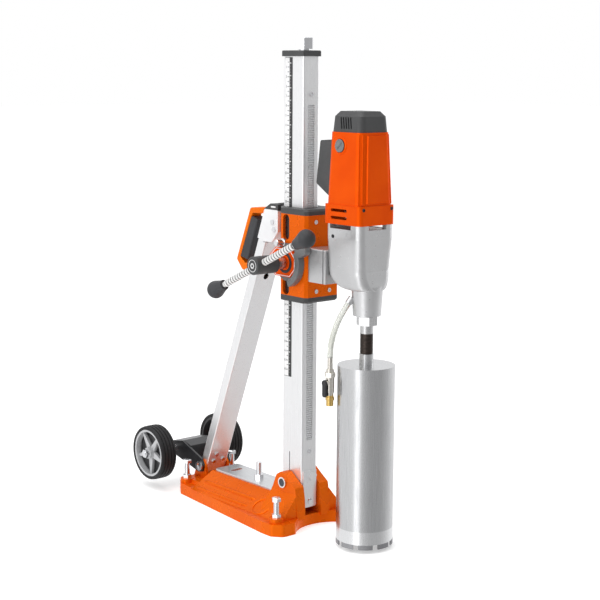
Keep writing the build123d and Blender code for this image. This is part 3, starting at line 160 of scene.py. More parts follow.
# ---- finishes -------------------------------------------------------------------------------------------
class Finish:
    """A node material on one Principled shader, patterned in the object's own coordinates."""

    def __init__(self, name, color, rough, metal=0.0, coat=0.0):
        self.material = bpy.data.materials.new(name)
        self.material.use_nodes = True
        self.tree = self.material.node_tree
        self.shader = self.tree.nodes["Principled BSDF"]
        self.color = color
        self.shader.inputs["Base Color"].default_value = (*color, 1)
        self.shader.inputs["Roughness"].default_value = rough
        self.shader.inputs["Metallic"].default_value = metal
        self.shader.inputs["Coat Weight"].default_value = coat
        self.shader.inputs["Coat Roughness"].default_value = 0.06
        self.coordinates = self.tree.nodes.new("ShaderNodeTexCoord")
        self.last_bump = None

    def link(self, source, target):
        self.tree.links.new(source, target)

    def noise(self, scale, stretch=(1, 1, 1), detail=3.0):
        """Noise value over the object; scale is in features per metre."""
        mapping = self.tree.nodes.new("ShaderNodeMapping")
        mapping.inputs["Scale"].default_value = stretch
        self.link(self.coordinates.outputs["Object"], mapping.inputs["Vector"])
        texture = self.tree.nodes.new("ShaderNodeTexNoise")
        texture.inputs["Scale"].default_value = scale
        texture.inputs["Detail"].default_value = detail
        self.link(mapping.outputs["Vector"], texture.inputs["Vector"])
        return texture.outputs["Fac"]

    def map_range(self, value, low, high, to_low, to_high):
        node = self.tree.nodes.new("ShaderNodeMapRange")
        for socket, number in (("From Min", low), ("From Max", high),
                               ("To Min", to_low), ("To Max", to_high)):
            node.inputs[socket].default_value = number
        self.link(value, node.inputs["Value"])
        return node.outputs["Result"]

    def mix(self, factor, first, second):
        """Mix two colours; each is a tuple or a socket."""
        node = self.tree.nodes.new("ShaderNodeMix")
        node.data_type = "RGBA"
        self.link(factor, node.inputs["Factor"])
        for socket, colour in ((node.inputs[6], first), (node.inputs[7], second)):
            if isinstance(colour, tuple):
                socket.default_value = (*colour, 1)
            else:
                self.link(colour, socket)
        return node.outputs[2]

    def vary(self, value, second):
        """Let the colour wander towards a second one."""
        self.link(self.mix(self.map_range(value, 0.35, 0.65, 0, 1), self.color, second),
                  self.shader.inputs["Base Color"])
        return self

    def rough(self, value, low, high):
        self.link(self.map_range(value, 0.3, 0.7, low, high), self.shader.inputs["Roughness"])
        return self

    def bump(self, value, depth, strength=1.0):
        node = self.tree.nodes.new("ShaderNodeBump")
        node.inputs["Distance"].default_value = depth
        node.inputs["Strength"].default_value = strength
        self.link(value, node.inputs["Height"])
        if self.last_bump:
            self.link(self.last_bump, node.inputs["Normal"])
        self.last_bump = node.outputs["Normal"]
        self.link(self.last_bump, self.shader.inputs["Normal"])
        return self

    def axis(self, name):
        """One coordinate of the object's own frame, in metres."""
        node = self.tree.nodes.new("ShaderNodeSeparateXYZ")
        self.link(self.coordinates.outputs["Object"], node.inputs["Vector"])
        return node.outputs[name]


def painted(name, color, second, rough=0.3, coat=0.6):
    """Glossy paint on a casting: faint orange peel and a slow change of shade."""
    finish = Finish(name, color, rough, coat=coat)
    finish.vary(finish.noise(9, detail=2), second)
    finish.rough(finish.noise(25), rough - 0.03, rough + 0.05)
    finish.bump(finish.noise(160, detail=1), 0.00002)
    return finish


def moulded(name, color, second, rough=0.5, grain=1600, depth=0.00008):
    """Moulded plastic or rubber with a fine spark-eroded grain."""
    finish = Finish(name, color, rough)
    finish.vary(finish.noise(14), second)
    finish.rough(finish.noise(90), rough - 0.07, rough + 0.08)
    finish.bump(finish.noise(grain, detail=2), depth)
    return finish


def brushed(name, color, second, rough=0.3, stretch=(1, 1, 0.02), scale=900, depth=0.00003, metal=1.0):
    """Metal with fine drawn or turned lines along the unstretched direction."""
    finish = Finish(name, color, rough, metal=metal)
    lines = finish.noise(scale, stretch=stretch, detail=4)
    finish.vary(lines, second)
    finish.rough(lines, rough - 0.08, rough + 0.1)
    finish.bump(lines, depth)
    return finish


def cast(name, color, second, rough=0.42):
    """Bead-blasted die casting."""
    finish = Finish(name, color, rough, metal=0.85)
    finish.vary(finish.noise(11), second)
    finish.rough(finish.noise(150), rough - 0.05, rough + 0.1)
    finish.bump(finish.noise(1100, detail=3), 0.00016)
    return finish


ORANGE = (0.79, 0.085, 0.002)
ORANGE_DEEP = (0.74, 0.07, 0.0015)
CASTING_ORANGE = (0.8, 0.135, 0.003)
CASTING_ORANGE_DEEP = (0.76, 0.115, 0.002)
FINISHES = {
    "orange_casting": painted("orange_paint", CASTING_ORANGE, CASTING_ORANGE_DEEP, rough=0.26, coat=0.05),
    "orange_plastic": moulded("orange_plastic", ORANGE, ORANGE_DEEP, rough=0.36, grain=900, depth=0.00005),
    "grey_plastic": moulded("grey_plastic", (0.062, 0.063, 0.064), (0.05, 0.051, 0.052), rough=0.5),
    "black_plastic": moulded("black_plastic", (0.018, 0.018, 0.02), (0.026, 0.026, 0.028), rough=0.42),
    "grip_rubber": moulded("grip_rubber", (0.045, 0.046, 0.05), (0.033, 0.034, 0.037), rough=0.55,
                           depth=0.00012),
    "black_paint": painted("black_paint", (0.012, 0.012, 0.014), (0.02, 0.02, 0.022), rough=0.36, coat=0.2),
    "cast_aluminium": cast("cast_aluminium", (0.6, 0.602, 0.605), (0.54, 0.542, 0.545), rough=0.32),
    "anodised": brushed("anodised", (0.82, 0.824, 0.828), (0.77, 0.774, 0.778), rough=0.34, metal=0.75),
    "white_paint": painted("white_paint", (0.8, 0.81, 0.82), (0.76, 0.77, 0.78), rough=0.34, coat=0.2),
    "plate_steel": brushed("plate_steel", (0.68, 0.69, 0.7), (0.58, 0.59, 0.6), rough=0.34,
                           stretch=(1, 0.03, 1)),
    "zinc_steel": brushed("zinc_steel", (0.78, 0.785, 0.8), (0.7, 0.705, 0.72), rough=0.24, scale=500),
    "machined_steel": brushed("machined_steel", (0.62, 0.62, 0.62), (0.54, 0.54, 0.54), rough=0.26,
                              stretch=(1, 0.05, 1)),
    "crank_bar": painted("crank_bar", (0.76, 0.76, 0.75), (0.7, 0.7, 0.69), rough=0.3, coat=0.2),
    "barrel_steel": brushed("barrel_steel", (0.6, 0.605, 0.61), (0.51, 0.515, 0.52), rough=0.25,
                            stretch=(1, 1, 0.03), scale=700, depth=0.00004),
    "segment_metal": cast("segment_metal", (0.33, 0.33, 0.34), (0.24, 0.24, 0.25), rough=0.6),
    "dark_thread": brushed("dark_thread", (0.075, 0.06, 0.052), (0.045, 0.037, 0.033), rough=0.4,
                           stretch=(0.1, 0.1, 1)),
    "tyre": moulded("tyre", (0.009, 0.009, 0.010), (0.014, 0.014, 0.015), rough=0.6, depth=0.0001),
    "wheel_plastic": moulded("wheel_plastic", (0.5, 0.505, 0.515), (0.44, 0.445, 0.455), rough=0.36),
    "ruler": moulded("ruler", (0.016, 0.016, 0.017), (0.02, 0.02, 0.021), rough=0.4, depth=0.00003),
    "nickel": brushed("nickel", (0.7, 0.67, 0.61), (0.6, 0.57, 0.52), rough=0.2, scale=400,
                      stretch=(0.1, 0.1, 1)),
    "brass": brushed("brass", (0.72, 0.5, 0.17), (0.62, 0.42, 0.14), rough=0.26, stretch=(0.1, 0.1, 1)),
}
for grey in ("grey_plastic", "black_plastic", "grip_rubber", "tyre"):
    FINISHES[grey].shader.inputs["Specular IOR Level"].default_value = 0.3
hose_finish = Finish("hose_clear", (0.84, 0.85, 0.8), 0.18)
hose_finish.shader.inputs["Transmission Weight"].default_value = 0.55
hose_finish.shader.inputs["IOR"].default_value = 1.42
hose_finish.vary(hose_finish.noise(40), (0.74, 0.75, 0.69))
hose_finish.bump(hose_finish.noise(300, stretch=(1, 1, 0.2)), 0.00006)
FINISHES["hose"] = hose_finish
for orange in ("orange_plastic", "orange_casting"):
    FINISHES[orange].shader.inputs["Specular IOR Level"].default_value = 0.1
    FINISHES[orange].shader.inputs["Metallic"].default_value = 0.3
    FINISHES[orange].shader.inputs["Specular Tint"].default_value = (1, 0.55, 0.2, 1)
print_white = moulded("print_white", (0.82, 0.82, 0.82), (0.76, 0.76, 0.76), rough=0.45, depth=0.00002)
print_black = moulded("print_black", (0.02, 0.02, 0.021), (0.03, 0.03, 0.031), rough=0.45, depth=0.00002)
vial_green = Finish("vial_liquid", (0.62, 0.8, 0.22), 0.08, coat=0.5)
vial_green.vary(vial_green.noise(200), (0.52, 0.72, 0.16))

pin_blue = moulded("pin_blue", (0.03, 0.045, 0.065), (0.02, 0.03, 0.045), rough=0.3)

# painted shade: the rim's recessed web, inboard of |x| 0.1005–0.1045, is coloured near-black so the spokes stand
# out of its shade
rim = FINISHES["wheel_plastic"]
depth_value = rim.tree.nodes.new("ShaderNodeMath")
depth_value.operation = "ABSOLUTE"
rim.link(rim.axis("X"), depth_value.inputs[0])
clear_of_web_shade = rim.map_range(depth_value.outputs["Value"], 0.1005, 0.1045, 0, 1)
rim.link(rim.mix(clear_of_web_shade, (0.03, 0.03, 0.032), rim.color), rim.shader.inputs["Base Color"])

# painted shade: the grooves between the crank bar's ribs are coloured dark grey, standing in for the shade in
# them
CRANK_CENTRE = Vector((-0.124, -0.015, 0.575))
CRANK_ALONG = Vector((0, cos(radians(-24.8)), sin(radians(-24.8))))
bar = FINISHES["crank_bar"]
along = bar.tree.nodes.new("ShaderNodeVectorMath")
along.operation = "DOT_PRODUCT"
along.inputs[1].default_value = CRANK_ALONG
bar.link(bar.coordinates.outputs["Object"], along.inputs[0])
chain = along.outputs["Value"]
for operation, number in (("SUBTRACT", CRANK_CENTRE.dot(CRANK_ALONG)), ("ABSOLUTE", 0), ("SUBTRACT", 0.023),
                          ("PINGPONG", 0.0043)):
    step = bar.tree.nodes.new("ShaderNodeMath")
    step.operation = operation
    bar.link(chain, step.inputs[0])
    step.inputs[1].default_value = number
    chain = step.outputs["Value"]
groove_shade = bar.map_range(chain, 0.0026, 0.0029, 0, 1)
bar.link(bar.mix(groove_shade, bar.shader.inputs["Base Color"].links[0].from_socket, (0.1, 0.1, 0.1)),
         bar.shader.inputs["Base Color"])

# the working end of the barrel is turned brighter
barrel = FINISHES["barrel_steel"]
crown = barrel.map_range(barrel.axis("Z"), 0.044, 0.046, 1, 0)
barrel.link(barrel.mix(crown, barrel.shader.inputs["Base Color"].links[0].from_socket, (0.74, 0.745, 0.75)),
            barrel.shader.inputs["Base Color"])

for part in frame["record"]["subparts"]:
    node = NODES[part["node"]]
    node.data.materials.clear()
    node.data.materials.append(FINISHES[part["material_slot"]].material)
# the carry handle wears the casting's orange paint, made brighter and more golden as painted light falling on it
# from the left
handle_lit_orange = moulded("handle_lit_orange", (0.83, 0.17, 0.004), (0.79, 0.15, 0.003), rough=0.32, depth=0.00004)
handle_lit_orange.shader.inputs["Specular IOR Level"].default_value = 0.1
handle_lit_orange.shader.inputs["Metallic"].default_value = 0.3
NODES["carry_handle"].data.materials[0] = handle_lit_orange.material
lever_grey = moulded("lever_grey", (0.16, 0.163, 0.166), (0.12, 0.122, 0.125), rough=0.34, depth=0.00004)
NODES["lock_lever"].data.materials[0] = lever_grey.material
pad_black = moulded("pad_black", (0.008, 0.008, 0.01), (0.014, 0.014, 0.016), rough=0.3)
NODES["glide_pads"].data.materials[0] = pad_black.material
rack_steel = brushed("rack_steel", (0.8, 0.805, 0.81), (0.7, 0.705, 0.71), rough=0.34, metal=0.7,
                     stretch=(0.03, 1, 1))
NODES["gear_rack"].data.materials[0] = rack_steel.material
hose_curve.materials.append(hose_finish.material)


def dress(piece, finish):
    piece.data.materials.append(finish.material)
    return piece


# soft edges on the castings and mouldings that catch the light
for node_name, width in (("base_casting", 0.0012), ("mount_block", 0.0008), ("wheel_bracket", 0.0006),
                         ("strut_head", 0.0006), ("strut_tube", 0.0009), ("base_cover_plate", 0.0003),
                         ("carry_grip", 0.0012)):
    rounding = NODES[node_name].modifiers.new("edge", "BEVEL")
    rounding.width = width
    rounding.segments = 2
    rounding.limit_method = "ANGLE"
    rounding.angle_limit = radians(35)
    rounding.harden_normals = False

# ---- tyres ----------------------------------------------------------------------------------------------
AXLE = (0.4107, 0.0844)
WHEEL_X = 0.098
for side_name, side in (("left", -1), ("right", 1)):
    bm = bmesh.new()
    hub = frame_matrix((side * WHEEL_X, *AXLE), (side, 0, 0))
    half = [(0.0634, 0.0030), (0.0618, 0.0034), (0.0618, 0.0052), (0.0634, 0.0056), (0.0633, 0.0110),
            (0.0617, 0.0114), (0.0617, 0.0130), (0.0631, 0.0134), (0.0624, 0.0172),
            (0.0606, 0.0194), (0.0585, 0.0200), (0.0551, 0.0190)]
    outline = [(radius, -height) for radius, height in reversed(half)] + half
    lathe(bm, outline + outline[:1], hub, steps=96)
    tread_piece = dress(add_piece(f"tread_{side_name}", to_mesh(bm, "tread"), f"wheel_{side_name}"),
                        FINISHES["tyre"])
    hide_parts(f"tyre_{side_name}")

# ---- ruler marks ----------------------------------------------------------------------------------------
RULER_X = -0.0215
RULER_LOW, RULER_HIGH = 0.323, 0.998
LIGHT_FACE = RULER_X - 0.00012
DARK_FACE = RULER_X - 0.00022
INCH = 0.0254
QUARTER_INCH = 0.00635
CENTIMETRE = 0.01
FIRST_INCH = RULER_HIGH - 0.012
FIRST_CENTIMETRE = RULER_HIGH - 0.01
bm_white = bmesh.new()
bm_black = bmesh.new()
block(bm_white, (LIGHT_FACE, 0.0126, RULER_LOW + 0.001), (RULER_X, 0.0262, RULER_HIGH - 0.001))
for inch in range(26):
    z = FIRST_INCH - INCH * inch
    block(bm_white, (LIGHT_FACE, 0.0072, z - 0.0009), (RULER_X, 0.0112, z + 0.0009))
    for quarter in (1, 2, 3):
        lower = z - QUARTER_INCH * quarter
        if lower > RULER_LOW + 0.004:
            block(bm_white, (LIGHT_FACE, 0.0092, lower - 0.0003), (RULER_X, 0.0112, lower + 0.0003))
for centimetre in range(66):
    z = FIRST_CENTIMETRE - CENTIMETRE * centimetre
    block(bm_black, (DARK_FACE, 0.0136, z - 0.0006), (LIGHT_FACE, 0.0185, z + 0.0006))
dress(add_piece("ruler_light_print", to_mesh(bm_white, "light_print"), "column", smooth=0),
      print_white)
dress(add_piece("ruler_dark_print", to_mesh(bm_black, "dark_print"), "column", smooth=0),
      print_black)
# the numbers stand upright on the column's crank side
READING = Matrix(((0, 0, -1, 0), (-1, 0, 0, 0), (0, 1, 0, 0), (0, 0, 0, 1)))
for centimetre in range(1, 66, 2):
    digits = bpy.data.curves.new("digits", "FONT")
    digits.body = str(centimetre)
    digits.size = 0.0072
    digits.align_x = "CENTER"
    digits.align_y = "CENTER"
    text = add_piece(f"number_{centimetre}", digits, "column")
    place = (RULER_X - 0.0003, 0.0223, FIRST_CENTIMETRE - CENTIMETRE * centimetre)
    text.matrix_world = Matrix.Translation(place) @ READING
    dress(text, print_black)

# ---- level vial on the strut's cap ----------------------------------------------------------------------
cap_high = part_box("strut_head_cap")[1]
bm = bmesh.new()
vial = frame_matrix((-0.012, 0.062, cap_high.z - 0.0045), (1, 0, 0))
lathe(bm, [(0, -0.011), (0.0036, -0.0105), (0.0044, -0.009), (0.0044, 0.009), (0.0036, 0.0105), (0, 0.011)],
      vial)
dress(add_piece("level_vial", to_mesh(bm, "vial"), "strut"), vial_green)

# ---- helper for screws with sockets ---------------------------------------------------------------------


def socket_screw(bm, place, axis, radius, height):
    """A button-head screw with a hexagon socket."""
    matrix = frame_matrix(place, axis)
    lathe(bm, [(radius, 0), (radius, 0.35 * height), (0.82 * radius, height), (0.48 * radius, height)],
          matrix, 24)
    lathe(bm, [(0.48 * radius, height), (0.44 * radius, 0.25 * height), (0, 0.25 * height)], matrix, 6)


# ---- motor ----------------------------------------------------------------------------------------------
MOTOR_Y = -0.182
HOUSING_LOW, HOUSING_TALL = 0.668, 0.183
HOUSING_HALF_X, HOUSING_HALF_Y, HOUSING_TAPER = 0.048, 0.054, 0.007
BRUSH_Z = 0.824


def motor_half(z):
    """Half width and half depth of the tapering motor housing at a height."""
    share = (z - HOUSING_LOW) / HOUSING_TALL
    return HOUSING_HALF_X - HOUSING_TAPER * share, HOUSING_HALF_Y - HOUSING_TAPER * share


for side_name, side in (("left", -1), ("right", 1)):
    bm = bmesh.new()
    cap_place = (side * (motor_half(BRUSH_Z)[0] - 0.0004), MOTOR_Y + 0.012, BRUSH_Z)
    cap_matrix = frame_matrix(cap_place, (side, 0, 0.041))
    lathe(bm, [(0.0186, -0.001), (0.0178, 0.0012), (0.0160, 0.0020), (0.0142, 0.0018), (0.0136, -0.001)],
          cap_matrix)
    dress(add_piece(f"brush_collar_{side_name}", to_mesh(bm, "collar"), "carriage"),
          FINISHES["orange_plastic"])
    bm = bmesh.new()
    lathe(bm, [(0.0129, 0), (0.0129, 0.0031), (0.0118, 0.0037), (0.0107, 0.0037), (0.0103, 0.0031), (0, 0.0031)],
          cap_matrix)
    slot_matrix = cap_matrix @ Matrix.Rotation(radians(40), 4, "Z")
    for low_y, high_y in ((-0.0013, -0.0006), (0.0006, 0.0013)):
        block(bm, (-0.0085, low_y, 0.0029), (0.0085, high_y, 0.0038), slot_matrix)
    dress(add_piece(f"brush_disc_{side_name}", to_mesh(bm, "disc"), "carriage"),
          moulded(f"brush_grey_{side_name}", (0.2, 0.205, 0.21), (0.15, 0.155, 0.16), rough=0.4))


def raised_panel(bm, levels, offset):
    """A panel a little proud of a tapering wall; levels are (height, half width, wall distance)."""
    outer = [[bm.verts.new((side * half, -distance - 0.0001, z)) for side in (-1, 1)]
             for z, half, distance in levels]
    inner = [[bm.verts.new((side * (half - 0.0012), -distance - offset, z + nudge)) for side in (-1, 1)]
             for (z, half, distance), nudge in zip(levels, (0.0012, 0, -0.0012))]
    for low, high in zip(inner, inner[1:]):
        bm.faces.new((low[0], low[1], high[1], high[0]))
    rim_verts = [pair[1] for pair in outer] + [pair[0] for pair in reversed(outer)]
    face_verts = [pair[1] for pair in inner] + [pair[0] for pair in reversed(inner)]
    for index, corner in enumerate(rim_verts):
        after = (index + 1) % len(rim_verts)
        bm.faces.new((corner, rim_verts[after], face_verts[after], face_verts[index]))


bm = bmesh.new()
panel_levels = [(z, motor_half(z)[0] - 0.0165, -MOTOR_Y + motor_half(z)[1]) for z in (0.711, 0.78, 0.846)]
raised_panel(bm, panel_levels, 0.0026)
dress(add_piece("motor_front_panel", to_mesh(bm, "panel"), "carriage", smooth=20),
      FINISHES["orange_plastic"])
bm = bmesh.new()
for turn in (-1, 1):
    for corner_angle in (32, 58):
        angle = radians(corner_angle)
        ends = []
        for z, radius in ((0.709, 0.0168), (0.847, 0.0152)):
            half_x, half_y = motor_half(z)
            ends.append(Vector((turn * (half_x - radius + radius * sin(angle)),
                                MOTOR_Y - half_y + radius - radius * cos(angle), z)))
        rib = frame_matrix(ends[0], ends[1] - ends[0])
        length = (ends[1] - ends[0]).length
        lathe(bm, [(0, -0.0002), (0.0021, 0.0006), (0.0017, length), (0, length)], rib, 10)
dress(add_piece("motor_corner_ribs", to_mesh(bm, "ribs"), "carriage"),
      FINISHES["orange_plastic"])

# ---- screws of the motor band, plugs of the gearbox, and the strut's side vials --------------------------
bm = bmesh.new()
for turn in (-1, 1):
    socket_screw(bm, (turn * 0.038, MOTOR_Y - 0.0545, 0.7), (0, -1, 0), 0.0036, 0.0014)
dress(add_piece("motor_screws", to_mesh(bm, "screws"), "carriage"),
      FINISHES["black_plastic"])

bm = bmesh.new()
for side in (-1, 1):
    plug = frame_matrix((side * 0.0480, -0.157, 0.643), (side, 0, 0))
    lathe(bm, [(0.0037, 0), (0.0037, 0.0007), (0.0030, 0.0010), (0.0018, 0.0010)], plug, 24)
    lathe(bm, [(0.0018, 0.0010), (0.0016, 0.0002), (0, 0.0002)], plug, 6)
dress(add_piece("gearbox_plugs", to_mesh(bm, "plugs"), "carriage"),
      FINISHES["black_plastic"])
bm = bmesh.new()
for side in (-1, 1):
    tube = frame_matrix((side * 0.0289, 0.0555, 0.6842), (0, 1, 0))
    lathe(bm, [(0, -0.0080), (0.0013, -0.0075), (0.0019, -0.006), (0.0019, 0.006), (0.0013, 0.0075),
               (0, 0.0080)], tube, 24)
dress(add_piece("side_vials", to_mesh(bm, "vials"), "strut"), print_white)

# ---- feed bearing: white line, dark ring, and the ring in the hub's end ----------------------------------
CRANK = (-0.015, 0.575)


def flat_ring(bm, matrix, inner, outer, height, steps=48):
    """A low flat ring standing on the matrix's XY plane."""
    lathe(bm, [(inner, 0), (outer, 0), (outer, height), (inner, height), (inner, 0)], matrix, steps)


plate_face = frame_matrix((-0.0554, *CRANK), (-1, 0, 0))
PLATE_CORNERS = [(-0.049, 0.012), (-0.032, 0.030), (0.016, 0.030), (0.034, 0.014),
                 (0.034, -0.014), (0.016, -0.030), (-0.032, -0.030), (-0.049, -0.012)]
PLATE_MIDDLE = (-0.0075, 0.0)
bm = bmesh.new()
loops = []
for shrink, x in ((0.95, -0.0554), (0.95, -0.0557), (0.91, -0.0557), (0.91, -0.0554)):
    loops.append([bm.verts.new((x, PLATE_MIDDLE[0] + (y - PLATE_MIDDLE[0]) * shrink, CRANK[1] + z * shrink))
                  for y, z in PLATE_CORNERS])
for first, second in zip(loops, loops[1:] + loops[:1]):
    for corner in range(8):
        after = (corner + 1) % 8
        bm.faces.new((first[corner], first[after], second[after], second[corner]))
dress(add_piece("bearing_line", to_mesh(bm, "line"), "carriage", smooth=0), print_white)
bm = bmesh.new()
lathe(bm, [(0.0163, 0), (0.0222, 0), (0.0222, 0.0010), (0.0212, 0.0018), (0.0170, 0.0018), (0.0163, 0.0010),
           (0.0163, 0)], plate_face)
dress(add_piece("bearing_ring", to_mesh(bm, "ring"), "carriage"), FINISHES["black_plastic"])
# sprung pin of the feed, above the plate
bm = bmesh.new()
lathe(bm, [(0.0085, 0), (0.0085, 0.004), (0.0062, 0.0048), (0.0062, 0.0155), (0.0070, 0.0162),
           (0.0070, 0.0205), (0.0055, 0.0222), (0, 0.0228)], frame_matrix((-0.046, 0.0, 0.6155), (-1, 0, 0)))
dress(add_piece("feed_pin", to_mesh(bm, "pin"), "carriage"), FINISHES["zinc_steel"])
bm = bmesh.new()
hub_end = frame_matrix((-0.142, *CRANK), (-1, 0, 0))
flat_ring(bm, hub_end, 0.0118, 0.0128, 0.0004)
flat_ring(bm, hub_end, 0.0036, 0.0060, 0.0004, 6)
dress(add_piece("hub_mark", to_mesh(bm, "mark"), "crank", smooth=0), print_white)

# ---- pins and bolts of the base and the column's foot -----------------------------------------------------
for side_name, side in (("left", -1), ("right", 1)):
    bm = bmesh.new()
    pin_end = frame_matrix((side * 0.0496, 0, 0.095), (side, 0, 0))
    lathe(bm, [(0.0090, 0), (0.0117, 0), (0.0117, 0.0006), (0.0090, 0.0006), (0.0090, 0)], pin_end)
    dress(add_piece(f"pin_ring_{side_name}", to_mesh(bm, "ring"), "base"), print_white)
    bm = bmesh.new()
    lathe(bm, [(0.0089, 0), (0.0086, 0.0004), (0.0050, 0.0002), (0, 0.0001)], pin_end)
    dress(add_piece(f"pin_face_{side_name}", to_mesh(bm, "face"), "base"), pin_blue)
bm = bmesh.new()
socket_screw(bm, (0, -0.0350, 0.0560), (0, -1, 0), 0.0048, 0.0026)
dress(add_piece("foot_screw", to_mesh(bm, "screw"), "column"), FINISHES["zinc_steel"])

# ---- ribs and dish rims cast into the base's slopes, and the wheel bracket's folded flange ----------------
SLOPE_FOOT = Vector((0.095, 0, 0.026))
SLOPE_TOP = Vector((0.037, 0, 0.061))
NORMAL_OUT, NORMAL_UP = 0.517, 0.856
DISH_RADIUS = 0.0235


def on_slope(side, share, y, lift=0.0):
    """A place on the base's side slope, share of the way up, lifted along its normal."""
    place = SLOPE_FOOT.lerp(SLOPE_TOP, share)
    return Vector((side * (place.x + NORMAL_OUT * lift), y, place.z + NORMAL_UP * lift))


bm = bmesh.new()
for side in (-1, 1):
    for share, start, end, radius in ((0.16, 0.075, 0.262, 0.0042), (0.50, 0.070, 0.256, 0.0050)):
        rib = frame_matrix(on_slope(side, share, start, -0.3 * radius), (0, 1, 0))
        length = end - start
        lathe(bm, [(0, 0), (0.45 * radius, 0.001), (0.85 * radius, 0.006), (radius, 0.018),
                   (radius, length - 0.018), (0.85 * radius, length - 0.006),
                   (0.45 * radius, length - 0.001), (0, length)], rib, 24)
    dish = frame_matrix(on_slope(side, 0.34, 0.036), (side * NORMAL_OUT, 0, NORMAL_UP))
    rim_profile = [(DISH_RADIUS + 0.0030 * cos(2 * pi * step / 12), 0.0024 * sin(2 * pi * step / 12))
                   for step in range(13)]
    lathe(bm, rim_profile, dish, 64)
bmesh.ops.remove_doubles(bm, verts=bm.verts, dist=1e-6)
dress(add_piece("base_ribs", to_mesh(bm, "ribs"), "base"), FINISHES["orange_casting"])
bm = bmesh.new()
block(bm, (-0.0342, 0.3540, 0.0640), (0.0342, 0.3572, 0.0957))
bmesh.ops.bevel(bm, geom=bm.edges[:], offset=0.0008, segments=2, affect="EDGES")
dress(add_piece("bracket_flange", to_mesh(bm, "flange"), "base"), FINISHES["black_paint"])

# ---- floor, light and surroundings ----------------------------------------------------------------------
floor_mesh = bpy.data.meshes.new("floor")
floor_mesh.from_pydata([(-30, -30, 0), (30, -30, 0), (30, 30, 0), (-30, 30, 0)], [], [(0, 1, 2, 3)])
floor = bpy.data.objects.new("floor", floor_mesh)
bpy.context.scene.collection.objects.link(floor)
floor_finish = Finish("floor", (0.9, 0.9, 0.9), 0.6)
floor_finish.vary(floor_finish.noise(0.6), (0.89, 0.89, 0.89))
floor_finish.shader.inputs["Specular IOR Level"].default_value = 0.0
floor_finish.shader.inputs["Emission Color"].default_value = (1, 1, 1, 1)
floor_finish.shader.inputs["Emission Strength"].default_value = 0.43
floor_mesh.materials.append(floor_finish.material)
floor.visible_glossy = False

world = bpy.data.worlds.new("studio")
bpy.context.scene.world = world
world.use_nodes = True
tree = world.node_tree
background = tree.nodes["Background"]
sky_coordinates = tree.nodes.new("ShaderNodeTexCoord")
# the studio is dark towards the front of the rig and bright on its left
facing = tree.nodes.new("ShaderNodeVectorMath")
facing.operation = "DOT_PRODUCT"
facing.inputs[1].default_value = (0.02, -0.98, -0.1)
tree.links.new(sky_coordinates.outputs["Generated"], facing.inputs[0])


def facing_ramp(start, near, end, far):
    """Grey tones between two shares of the facing value."""
    node = tree.nodes.new("ShaderNodeValToRGB")
    for element, position, tone in zip(node.color_ramp.elements, (start, end), (near, far)):
        element.position = position
        element.color = (*tone, 1)
    tree.links.new(facing.outputs["Value"], node.inputs["Fac"])
    return node.outputs["Color"]


white = tree.nodes.new("ShaderNodeBackground")
white.inputs["Color"].default_value = (1, 1, 1, 1)
white.inputs["Strength"].default_value = 1.0
tree.links.new(facing_ramp(0.12, (0.85, 0.85, 0.86), 0.88, (0.06, 0.06, 0.062)), background.inputs["Color"])
background.inputs["Strength"].default_value = 0.6
reflected = tree.nodes.new("ShaderNodeBackground")
tree.links.new(facing_ramp(0.1, (0.95, 0.95, 0.96), 0.92, (0.44, 0.44, 0.445)), reflected.inputs["Color"])
STRIP_HEADING = radians(-164)
STRIP_EDGE, STRIP_CORE = radians(13), radians(6)
heading = tree.nodes.new("ShaderNodeVectorMath")
heading.operation = "MULTIPLY"
heading.inputs[1].default_value = (1, 1, 0)
tree.links.new(sky_coordinates.outputs["Generated"], heading.inputs[0])
level_heading = tree.nodes.new("ShaderNodeVectorMath")
level_heading.operation = "NORMALIZE"
tree.links.new(heading.outputs["Vector"], level_heading.inputs[0])
towards_strip = tree.nodes.new("ShaderNodeVectorMath")
towards_strip.operation = "DOT_PRODUCT"
towards_strip.inputs[1].default_value = (cos(STRIP_HEADING), sin(STRIP_HEADING), 0)
tree.links.new(level_heading.outputs["Vector"], towards_strip.inputs[0])
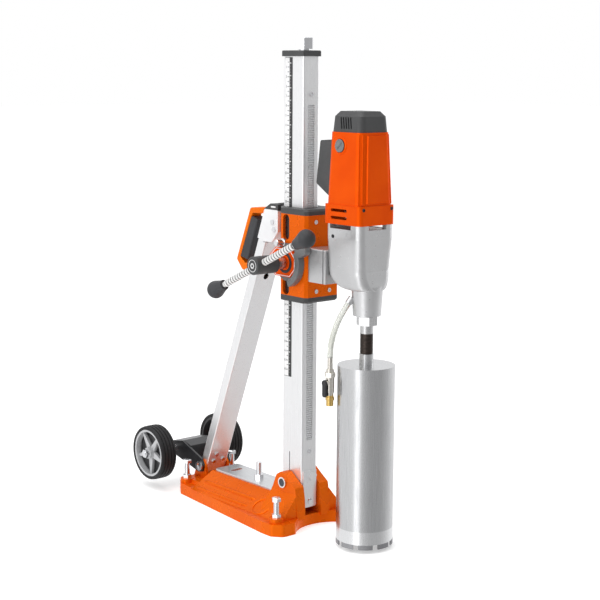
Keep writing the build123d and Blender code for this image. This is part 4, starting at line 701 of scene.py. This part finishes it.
strip = tree.nodes.new("ShaderNodeMapRange")
for socket, number in (("From Min", cos(STRIP_EDGE)), ("From Max", cos(STRIP_CORE)),
                       ("To Min", 1.1), ("To Max", 2.5)):
    strip.inputs[socket].default_value = number
tree.links.new(towards_strip.outputs["Value"], strip.inputs["Value"])
tree.links.new(strip.outputs["Result"], reflected.inputs["Strength"])
light_path = tree.nodes.new("ShaderNodeLightPath")
by_ray = tree.nodes.new("ShaderNodeMixShader")
tree.links.new(light_path.outputs["Is Glossy Ray"], by_ray.inputs["Fac"])
tree.links.new(background.outputs["Background"], by_ray.inputs[1])
tree.links.new(reflected.outputs["Background"], by_ray.inputs[2])
choose = tree.nodes.new("ShaderNodeMixShader")
tree.links.new(light_path.outputs["Is Camera Ray"], choose.inputs["Fac"])
tree.links.new(by_ray.outputs["Shader"], choose.inputs[1])
tree.links.new(white.outputs["Background"], choose.inputs[2])
tree.links.new(choose.outputs["Shader"], tree.nodes["World Output"].inputs["Surface"])


def softbox(name, place, target, size, power, height=None):
    """A rectangular area light aimed at a target."""
    data = bpy.data.lights.new(name, "AREA")
    data.shape = "RECTANGLE"
    data.size = size
    data.size_y = height or size
    data.energy = power
    lamp = bpy.data.objects.new(name, data)
    lamp.location = place
    lamp.rotation_mode = "QUATERNION"
    lamp.rotation_quaternion = (Vector(target) - Vector(place)).to_track_quat("-Z", "Y")
    bpy.context.scene.collection.objects.link(lamp)


CENTRE = (0, 0, 0.5)
softbox("key", (-3.0, 0.1, 1.7), CENTRE, 1.5, 34, 2.4)
softbox("rim", (2.6, -0.9, 1.4), CENTRE, 0.7, 12, 2.2)
softbox("top", (-0.4, 0.6, 3.4), CENTRE, 2.2, 26)
sun_data = bpy.data.lights.new("sky_panel", "SUN")
sun_data.energy = 0.9
sun_data.angle = radians(70)
sun = bpy.data.objects.new("sky_panel", sun_data)
sun.rotation_euler = (radians(8), radians(-12), 0)
bpy.context.scene.collection.objects.link(sun)
bpy.context.scene.view_settings.view_transform = "Standard"
